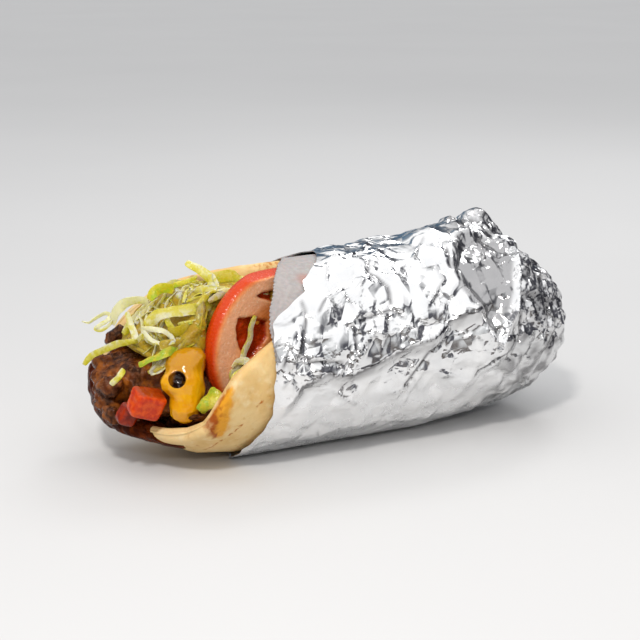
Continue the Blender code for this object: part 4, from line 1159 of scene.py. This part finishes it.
def turned(vectors, axes, angles):
    """Each vector turned about its axis by its angle."""
    cos, sin = np.cos(angles)[:, None], np.sin(angles)[:, None]
    along = (axes * vectors).sum(axis=1)[:, None]
    return vectors * cos + np.cross(axes, vectors) * sin + axes * along * (1 - cos)


def band(path, width, roll=0.0, twist=0.6, leafy=0.4, room=1.0, facing=PHOTO_SIDE, ripple=0.25, seed=0,
         shade=0.0):
    """A strip of lettuce along the path, turned about it by roll and a slow twist."""
    obj, share, across = new_sheet("band", 7 * len(path), 4)
    across = 2 * across - 1
    place, way = on_path(path, share)
    side = np.cross(way, facing)
    side /= np.linalg.norm(side, axis=1)[:, None]
    side = turned(side, way, roll + twist * np.sin(5 * share + width))
    up = np.cross(way, side)
    taper = 0.55 + 0.45 * np.sin(math.pi * np.clip(share, 0, 1)) ** 0.5
    length = np.linalg.norm(np.diff(np.array(path, float), axis=0), axis=1).sum()
    wave = ripple * np.sin(share * length / 1.1 + seed) * (0.35 + 0.65 * across**2)
    wave += 0.5 * ripple * np.sin(share * length / 2.7 + 2 * seed) + 0.07 * width * across**2
    edge_wave = 1 + 0.08 * np.sin(share * length / 1.7 + 3 * seed + across)
    points = place + side * (across * width / 2 * taper * edge_wave)[:, None] + up * wave[:, None]
    put_points(obj, tucked(points, room) if room else points)
    mark(obj, "leafy", np.clip(leafy + 0.25 * across + 0.2 * np.sin(3 * share + seed), -0.3, 1))
    mark(obj, "shade", np.full(len(points), shade))
    return obj


# %% Lettuce curves
# Each strip that shows: its width, roll, how green and how shaded it is, and the points that it follows.
SHREDS = (
    (4.2, 0.0, 0.15, 0.0, ((-51, 14, 76), (-47, 10, 73), (-44, 6, 70), (-44, 2, 67), (-43, 0, 63))),
    (4.0, 0.1, 0.1, 0.0, ((-43.9, 6, 71.8), (-44, 4, 68.9), (-46.7, 0, 66.8), (-50.6, -3, 65.1))),
    (2.0, 0.3, 0.75, 0.0, ((-62, 8, 67.2), (-58, 8, 68.5), (-53, 8, 69.6), (-49, 8, 70.7))),
    (4.6, 0.0, 0.95, 0.0, ((-71, 4, 64.7), (-69, 4, 67.6), (-65, 4, 68.8), (-61, 4, 67.5))),
    (3.0, 0.2, 0.0, 0.0, ((-60, 10, 66.2), (-59, 5, 66), (-59, 2, 64.3))),
    (1.6, 0.3, 0.3, 0.0, ((-46, 10, 67), (-51, 7, 67.2), (-57, 1, 66), (-59, -1, 63.4))),
    (1.8, 0.4, 0.3, 0.0, ((-47, 12, 67), (-49, 3, 67), (-51, -3, 65.4))),
    (1.8, 0.2, 0.35, 0.0, ((-58, -2, 63.2), (-54, -3, 64.8), (-49, -4, 64.3), (-46, -4, 64.3))),
    (5.2, 0.1, 0.35, 0.2, ((-46.8, -3, 61.8), (-54.1, -6, 61.7), (-61.3, -7, 62), (-67.5, -6, 61.7),
                           (-72.1, -4, 59.8), (-75.2, -2, 56.1))),
    (2.6, 0.3, 0.15, 0.0, ((-79, 8, 59.9), (-78.3, 7, 56), (-77.9, 4, 52.7), (-78.3, 1, 49.8),
                           (-76.9, -2, 53.2))),
    (2.0, 0.2, -0.2, 0.0, ((-77.6, -3, 55.9), (-74.7, -6, 55.8), (-71, -8, 55), (-68.2, -9, 53.3),
                           (-67.4, -12, 51.1))),
    (1.8, -0.2, -0.1, 0.0, ((-76.8, -3, 55), (-76, -7, 52.6), (-73.2, -9, 50.8), (-69.9, -11, 50.8),
                            (-67.4, -12, 51.1))),
    (2.2, 0.3, 0.4, 0.0, ((-68.4, -6, 61), (-67.6, -7, 57.2), (-65.2, -9, 53.3))),
    (1.8, 0.2, 0.45, 0.0, ((-64.3, -8, 56.6), (-61, -9, 57.2), (-57.6, -10, 57.8))),
    (6.4, 0.1, 0.5, 0.55, ((-68.6, -8, 53.9), (-64.8, -10.5, 54.2), (-59.4, -10, 54.4), (-54.3, -8, 54.5))),
    (5.0, 0.0, 0.6, 0.9, ((-73.2, -10.5, 50.1), (-67.2, -12, 49.7), (-61.2, -11.5, 49.5),
                          (-55.7, -10, 49.2))),
    (2.8, 0.3, 0.6, 0.1, ((-92.6, 22, 36.7), (-90.7, 20, 40.2), (-87.8, 15, 43.6), (-84.4, 8, 47.3),
                           (-80.8, 2, 49.5), (-77.9, 0, 50))),
    (4.2, 0.1, -0.2, 0.0, ((-79.6, 24, 51.5), (-78.9, 22, 56), (-76.5, 20, 59.8), (-72.2, 18, 61.4),
                           (-67, 16, 61.2))),
    (1.6, 0.5, -0.2, 0.0, ((-91.3, 26, 53.7), (-88.7, 26, 52.5), (-85.7, 26, 54.2), (-82, 25, 55.7),
                           (-79.9, 25, 54.8), (-81.6, 24, 53), (-84.6, 24, 51.7), (-86.6, 24, 50.3),
                           (-84.6, 23, 49.8), (-81.6, 23, 51.1), (-79.4, 23, 53.3))),
    (3.4, -0.3, 0.8, 0.0, ((-81, -8, 43), (-76, -12, 46), (-70, -13, 48), (-63, -10, 48.5))),
    (6.0, -0.6, 0.6, 0.2, ((-44, 10, 69), (-34.5, 8, 69), (-26, 8, 68))),
)
LETTUCE_BOTTOM, HEAP_TOP = 43.0, 66.0
TOP_BANDS, FRONT_BANDS = 90, 64
FRONT_FOOT = 47
STEPS = (-1, -0.4, 0.3, 1)


def heap_top(x, y):
    """Height of the lettuce core: it slopes down to the mouth and to the front."""
    slope = 46 + 0.8 * (x + 72) + 0.6 * (np.minimum(y, 8) + 8) - 0.3 * np.maximum(y - 12, 0)
    return np.minimum(slope, HEAP_TOP)


def heap_front(x):
    """How far the lettuce core comes to the front: it steps back where the tomato slice stands."""
    return -1.5 - 10 * (1 - smooth(-57, -50, x)) - 40 * smooth(-30, -8, x)


strips = []
for index, (width, roll, leafy, shade, path) in enumerate(SHREDS):
    strips.append(band(path, width, roll, leafy=leafy, room=0.8, seed=index, shade=shade))
draw = random.Random(7)
for _ in range(TOP_BANDS):
    middle = np.array((draw.uniform(-72, -26), draw.uniform(-6, 23), 0))
    turn = draw.uniform(0, math.pi)
    way = np.array((math.cos(turn), math.sin(turn), 0)) * draw.uniform(5, 12)
    path = []
    for step in STEPS:
        there = middle + way * step + (draw.uniform(-1.5, 1.5), draw.uniform(-1.5, 1.5), 0)
        there[2] = heap_top(there[0], there[1]) + draw.uniform(-0.2, 1.3) - 1.2 * abs(step)
        path.append(there)
    strips.append(band(
        path, draw.uniform(2.0, 4.4), draw.uniform(0.5, 1.6), leafy=draw.choice((-0.1, 0.1, 0.2, 0.4, 0.6)),
        room=1.0, seed=draw.uniform(0, 6), shade=draw.uniform(0.0, 0.35),
    ))
for _ in range(FRONT_BANDS):
    middle, rise = draw.uniform(-73, -46), draw.uniform(0.05, 1.0)
    reach, slope = draw.uniform(2.5, 7), draw.uniform(-0.5, 0.9)
    path = []
    for step in STEPS:
        x = middle + reach * step
        y = float(heap_front(x)) + draw.uniform(-1.0, 0.0) + 0.8 * abs(step)
        top = float(heap_top(x, y))
        z = FRONT_FOOT + rise * (top - FRONT_FOOT) + slope * reach * step + draw.uniform(-0.8, 0.8)
        path.append((x, y, min(z, top + 0.8)))
    strips.append(band(
        path, draw.uniform(1.4, 3.6), draw.uniform(-0.7, 0.7), leafy=draw.choice((-0.2, 0.0, 0.2, 0.4, 0.6)),
        room=1.0, seed=draw.uniform(0, 6), shade=draw.choice((0.0, 0.15, 0.4, 0.7)),
    ))
bands = joined(strips, "lettuce")
thicken(bands, 0.3)
print(len(strips), "bands of lettuce")


# %% Lettuce core
def pressed(value, limit, side):
    """The value, squeezed almost flat where it is past the limit: side 1 presses down, -1 up."""
    past = (value - limit) * side > 0
    return np.where(past, limit + 0.03 * (value - limit), value)


CORE_ROWS = 180
CORE_START, CORE_FULL, CORE_CLOSES, CORE_END = -77, -60, 70, 92
PRESSED_LEAVES = np.array(((0.4, 0.2, 0), (-0.3, 0.9, 0), (0, 0, 1.0)))

core, row, angle = new_sphere("lettuce_core", CORE_ROWS, CORE_ROWS)
share = row / CORE_ROWS
x = CORE_START + (CORE_END - CORE_START) * (1 - np.cos(share * math.pi)) / 2
near = np.clip((CORE_FULL - x) / (CORE_FULL - CORE_START), 0, 1)
far = np.clip((x - CORE_CLOSES) / (CORE_END - CORE_CLOSES), 0, 1)
close = np.sqrt(1 - near**2.4) * np.sqrt(1 - far**3)
points = skin(x, angle, -PITA_THICKNESS - BREAD_GAP)
points[:, 1] = pressed(points[:, 1], heap_front(x), -1)
points[:, 2] = pressed(points[:, 2], heap_top(x, points[:, 1]), 1)
points[:, 2] = pressed(points[:, 2], LETTUCE_BOTTOM, -1)
axis = np.stack([x, 0 * x + 8, 0 * x + LETTUCE_BOTTOM + 4], axis=-1)
points = axis + (points - axis) * close[:, None]
put_points(core, points)
leaves = crumple(points @ PRESSED_LEAVES, 3.4, 8)
put_points(core, points + normals_of(core) * (2.2 * leaves - 1.5)[:, None])
mark(core, "leafy", np.clip(0.35 + 0.6 * wander(points, 7, 3), 0, 1))
mark(core, "shade", np.clip(1.0 - 0.9 * leaves + 0.25 * wander(points, 9, 5), 0, 1))
lettuce = joined([bands, core], "lettuce")

leaf_paint, tree, shader, mm = new_material(
    "leaf", 0.3, Specular_IOR_Level=0.22,
    Subsurface_Weight=0.5, Subsurface_Scale=0.004, Subsurface_Radius=(1.0, 0.85, 0.15),
)
green = math_node(tree, "ADD", marked(tree, "leafy"), patchy(tree, mm, 2.5, -0.2, 0.2))
colour = layered(
    tree, (0.78, 0.75, 0.44),
    (spread(tree, green, -0.05, 0.35), (0.66, 0.58, 0.10)),
    (spread(tree, green, 0.35, 0.7), (0.54, 0.46, 0.025)),
    (spread(tree, green, 0.7, 1.1), (0.30, 0.42, 0.025)),
    (marked(tree, "shade"), (0.36, 0.22, 0.010)),
)
blisters = spread(tree, cells(tree, mm, 1.6, 0.8)[1], 0.0, 0.4)
finished(tree, shader, colour, patchy(tree, mm, 1.8, 0.2, 0.4), blisters, 0.08)
settle(lettuce, leaf_paint, ["lettuce_heap"], crease=40)

# %% [markdown]
# Three more pieces of lettuce lie on their own: a wilted strip with a curl, which clings to the tomato, a
# short green piece wedged between cheese and bread, and a small tip on the meat.

# %% Lettuce pieces
TOMATO_TURN = math.radians(12)
tomato_side = np.array((math.sin(TOMATO_TURN), -math.cos(TOMATO_TURN), 0))
TOMATO_SHRED = (
    (-34.2, -14.3, 58), (-36.4, -14.7, 54), (-36.8, -14.8, 49.5), (-39.3, -15.4, 45),
    (-40.8, -15.7, 42), (-42.5, -16.0, 38.6), (-45.8, -16.7, 37), (-45.5, -16.7, 33.3),
)
SHRED_CURL = (
    (-45.4, -17, 39), (-43.5, -17.5, 41.3), (-40.3, -18, 41.4), (-39.5, -19, 39.9), (-42.3, -19.5, 38),
    (-45.6, -20, 36.6), (-47.1, -20.5, 34.1),
)
LETTUCE_BIT = ((-56.5, -27, 34.5), (-60, -27.5, 31), (-64, -27, 27))
LETTUCE_TIP = ((-90.5, -3, 35), (-88.5, -6, 38.5), (-86, -5, 41))

shred = joined([
    band(TOMATO_SHRED, 2.6, 0, 0, 0.05, 0, tomato_side, ripple=0.15, seed=2),
    band(SHRED_CURL, 3.2, 0.4, 0.5, 0.1, 0, tomato_side, ripple=0.15, seed=3),
], "shred_on_tomato")
bit = band(LETTUCE_BIT, 6.0, 0, 0.6, 0.9, 1.0, ripple=0.3, seed=4)
bit.name = "wedged_bit"
tip = band(LETTUCE_TIP, 2.6, 0, 0.6, 0.3, 0, ripple=0.15, seed=5)
tip.name = "leaf_tip"
for piece, slot in ((shred, "lettuce_shred"), (bit, "lettuce_bit"), (tip, "lettuce_tip")):
    thicken(piece, 0.6)
    settle(piece, leaf_paint, [slot], crease=40)

# %% [markdown]
# ## Tomato slice
# A thick slice of a large tomato has a red skin, a paler wall of flesh with pale specks of cut cells, painted
# partly as highlight glints, and four hollows of darker jelly with seeds, parted by spokes. A sphere is
# pressed into the slice's section: flat face, round edge, skin, round edge, flat face. The hollows are sunk
# into both faces.

# %% Tomato sizes
TOMATO_RADIUS, TOMATO_THICKNESS = 32.0, 8.0
TOMATO_CENTRE = (-23.5, -7.0, 43.0)
NEAR_HOLLOW = np.array((
    (-19.8, 16.2), (-21.2, 11.2), (-20.8, 6.2), (-18.8, 0.9), (-15, -3.4), (-11, -2.7), (-7.9, 1.1),
    (-4.4, 4.7), (-4.7, 12), (-12.1, 15), (-16.4, 15.3),
))
TOP_HOLLOW = np.array((
    (-11.6, 22.6), (-7.7, 20.3), (-3.8, 18.9), (1, 13), (4, 7), (11, 5), (18, 8), (19, 14), (12, 20),
    (3, 23.8), (-6, 24.2),
))
HOLLOWS = (NEAR_HOLLOW, TOP_HOLLOW, -NEAR_HOLLOW, -TOP_HOLLOW)


def slice_section(rows):
    """Distance from the middle and height over it, from the front face's middle round to the back's."""
    corner = 2.6
    flat = np.linspace(0, TOMATO_RADIUS - corner, 54)
    bend = np.linspace(0, math.pi / 2, 9)[1:]
    side = np.linspace(1, -1, 6)[1:-1]
    half = TOMATO_THICKNESS / 2
    radius = np.concatenate([flat, TOMATO_RADIUS - corner + corner * np.sin(bend)])
    height = np.concatenate([0 * flat + half, half - corner + corner * np.cos(bend)])
    skin_radius = TOMATO_RADIUS + 0.35 * (1 - side**2)
    radius = np.concatenate([radius, skin_radius, radius[::-1]])
    height = np.concatenate([height, side * (half - corner), -height[::-1]])
    spots, corners = np.linspace(0, len(radius) - 1, rows + 1), np.arange(len(radius))
    return np.interp(spots, corners, radius), np.interp(spots, corners, height)


# %% Tomato slice
TOMATO_ROWS = 130
tomato, row, angle = new_sphere("tomato", 220, TOMATO_ROWS)
section_radius, section_height = slice_section(TOMATO_ROWS)
radius, height = section_radius[TOMATO_ROWS - row], section_height[TOMATO_ROWS - row]
local = np.stack([radius * np.cos(angle), radius * np.sin(angle), height], axis=-1)
spots = local[:, :2] + 0.35 * np.stack([wander(local * (1, 1, 0), 3.0, k) for k in (31, 37)], axis=-1)
hollow = np.zeros(len(local))
for outline in HOLLOWS:
    closed = np.concatenate([outline, outline[:1]])
    deep = smooth(0.0, 1.7, line_distance(spots, closed)[0])
    hollow = np.maximum(hollow, np.where(inside(spots, outline), deep, 0.0))
jelly = wander(local, 5.0, 6)
seeds = np.exp(-(((crumple(local * (1, 1, 0.2), 4.0, 12) - 1) / 0.28) ** 2))
sunk = hollow * (2.1 - 0.9 * jelly - 0.6 * seeds)
on_face = smooth(2.0, 3.6, np.abs(height))
local[:, 2] -= np.sign(height) * on_face * (sunk - 0.12 * wander(local, 1.6, 9))
mark(tomato, "jelly", hollow * on_face)
mark(tomato, "seeds", hollow * on_face * seeds)
mark(tomato, "skin", smooth(TOMATO_RADIUS - 2.2, TOMATO_RADIUS - 0.3, radius))
near_rim = smooth(TOMATO_RADIUS - 4.2, TOMATO_RADIUS - 0.8, radius)
mark(tomato, "wall", smooth(15, 24, radius) * (1 - near_rim) * (1 - hollow))
upright = Matrix.Rotation(TOMATO_TURN, 3, "Z") @ Matrix.Rotation(math.pi / 2, 3, "X")
put_points(tomato, tucked(local @ np.array(upright).T + TOMATO_CENTRE, 0.9))

flesh_paint, tree, shader, mm = new_material(
    "tomato_flesh", 0.2, Specular_IOR_Level=0.3,
    Subsurface_Weight=0.12, Subsurface_Scale=0.003, Subsurface_Radius=(1.0, 0.4, 0.2),
)
# The pale specks on the wall are partly the flesh's own cut cells, partly painted highlight glints.
pale_specks_and_glints = math_node(tree, "MULTIPLY", marked(tree, "wall"), mottle(tree, mm, 0.8, 0.52, 0.68))
colour = layered(
    tree, (0.70, 0.20, 0.045),
    (mottle(tree, mm, 6.0, 0.35, 0.65), (0.80, 0.30, 0.10)),
    (spread(tree, marked(tree, "wall"), 0, 1, 0, 0.85), (0.84, 0.44, 0.25)),
    (spread(tree, pale_specks_and_glints, 0, 1, 0, 0.5), (0.95, 0.66, 0.45)),
    (spread(tree, marked(tree, "jelly"), 0.1, 0.8), (0.40, 0.030, 0.002)),
    (spread(tree, marked(tree, "seeds"), 0.5, 1.0), (0.66, 0.26, 0.02)),
    (marked(tree, "skin"), (0.60, 0.048, 0.003)),
)
gloss = patchy(tree, mm, 1.2, 0.12, 0.34, 0.4, 0.6)
finished(tree, shader, colour, gloss, cells(tree, mm, 0.9, 0.4)[0], 0.12)
settle(tomato, flesh_paint, ["tomato_slice"])

# %% [markdown]
# ## Tomato cubes and cheese
# The two cubes and the drop of cheese are soft, wet shapes, so a merged copy of each solid is remeshed to a
# fine even skin, softened, and given the small dents of a knife cut or of a slow melt. The top of the drop
# is brought down a little from the solid's and painted darker as the lettuce's shadow. A bubble in its front
# has broken open, and its pit is painted black with shade, and brown where its wall is lit.

# %% Soft toppings
BUBBLE, BUBBLE_RIM = (-71.3, -22.6, 39.5), (3.2, 3.55)
# The way towards the pit's shaded side, and the depths along it over which the painted light of the lit side
# fades out.
PIT_SHADE_WAY, PIT_LIGHT_DEPTHS = (0.85, -0.45, -0.25), (-2.4, -0.6)
SLUMP_START = 44.0


def soft_topping(solid, piece, voxel, rounds, dent, size, seed):
    """A fine soft skin over a copy of the solid, dented a little."""
    obj = remeshed(merged_copy(solid, piece), voxel, rounds)
    points = points_of(obj)
    put_points(obj, points + normals_of(obj) * (dent * wander(points, size, seed))[:, None])
    return obj


cheese = soft_topping("cheese_melt", "cheese", 0.45, 6, 0.25, 6.0, 3)
dice = [
    soft_topping(name, piece, 0.35, 9, 0.22, 3.6, seed)
    for name, piece, seed in (("tomato_dice_1", "cube_1", 5), ("tomato_dice_2", "cube_2", 8))
]

points = points_of(cheese)
from_bubble = points - BUBBLE
# The pit is painted black with shade, and brown on the side where its wall is lit: the second mark picks that
# side.
mark(cheese, "bubble", 1 - smooth(*BUBBLE_RIM, np.linalg.norm(from_bubble, axis=1)))
mark(cheese, "pit_lit_side", 1 - smooth(*PIT_LIGHT_DEPTHS, from_bubble @ PIT_SHADE_WAY))
over = np.maximum(points[:, 2] - SLUMP_START, 0)
points[:, 2] -= 0.33 * over
points[:, 0] += 0.25 * over
put_points(cheese, points)
# high: the top of the drop, painted darker as the shadow of the lettuce.
mark(cheese, "high", smooth(38, 45, points[:, 2]))
cheese_paint, tree, shader, mm = new_material(
    "cheese", 0.14, Specular_IOR_Level=0.5,
    Subsurface_Weight=0.15, Subsurface_Scale=0.004, Subsurface_Radius=(1.0, 0.5, 0.05),
)
# Painted light in the colour: black shade in the pit, brown where its wall is lit, and the lettuce's shadow
# over the top.
pit = blend_colours(tree, marked(tree, "pit_lit_side"), (0.010, 0.002, 0.0005), (0.30, 0.10, 0.004))
colour = layered(
    tree, (0.66, 0.28, 0.001),
    (mottle(tree, mm, 7.0, 0.35, 0.65), (0.76, 0.37, 0.002)),
    (spread(tree, marked(tree, "high"), 0, 1, 0, 0.8), (0.46, 0.20, 0.001)),
    (marked(tree, "bubble"), pit),
)
finished(tree, shader, colour, patchy(tree, mm, 3.0, 0.06, 0.15), mottle(tree, mm, 4.5, 0.2, 0.8, 2.0), 0.22)
settle(cheese, cheese_paint, ["cheese_melt"])

# The second cube's colours are a darker copy of the first's: painted shade, as it hangs under it.
for cube, slot, low, high, top_shade in (
    (dice[0], "tomato_dice_1", (0.50, 0.026, 0.001), (0.68, 0.075, 0.003), (0.33, 0.040, 0.003)),
    (dice[1], "tomato_dice_2", (0.18, 0.010, 0.001), (0.34, 0.026, 0.002), (0.20, 0.016, 0.001)),
):
    # Faces that look up get a colour of their own, painted as shade.
    mark(cube, "top_shade", smooth(0.45, 0.9, normals_of(cube)[:, 2]))
    cube_paint, tree, shader, mm = new_material(
        slot, 0.14, Specular_IOR_Level=0.35,
        Subsurface_Weight=0.12, Subsurface_Scale=0.003, Subsurface_Radius=(1.0, 0.3, 0.05),
    )
    colour = layered(tree, low, (mottle(tree, mm, 3.0, 0.35, 0.65), high), (marked(tree, "top_shade"), top_shade))
    gloss = patchy(tree, mm, 1.4, 0.08, 0.2)
    finished(tree, shader, colour, gloss, mottle(tree, mm, 1.3, 0.2, 0.8), 0.12)
    settle(cube, cube_paint, [slot])

# %% [markdown]
# ## Sizes
# The boxes of the solids and of the dressed model are both measured and printed. The dressed model
# has to stay in the box of the solids.

# %% Sizes
dressed_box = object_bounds()
boxes = {"cad": cad_box, "visual": dressed_box}
sizes = {name: [list(map(float, corner)) for corner in box] for name, box in boxes.items()}
for name, (low, high) in sizes.items():
    print(name, [round(1000 * (b - a), 1) for a, b in zip(low, high)])
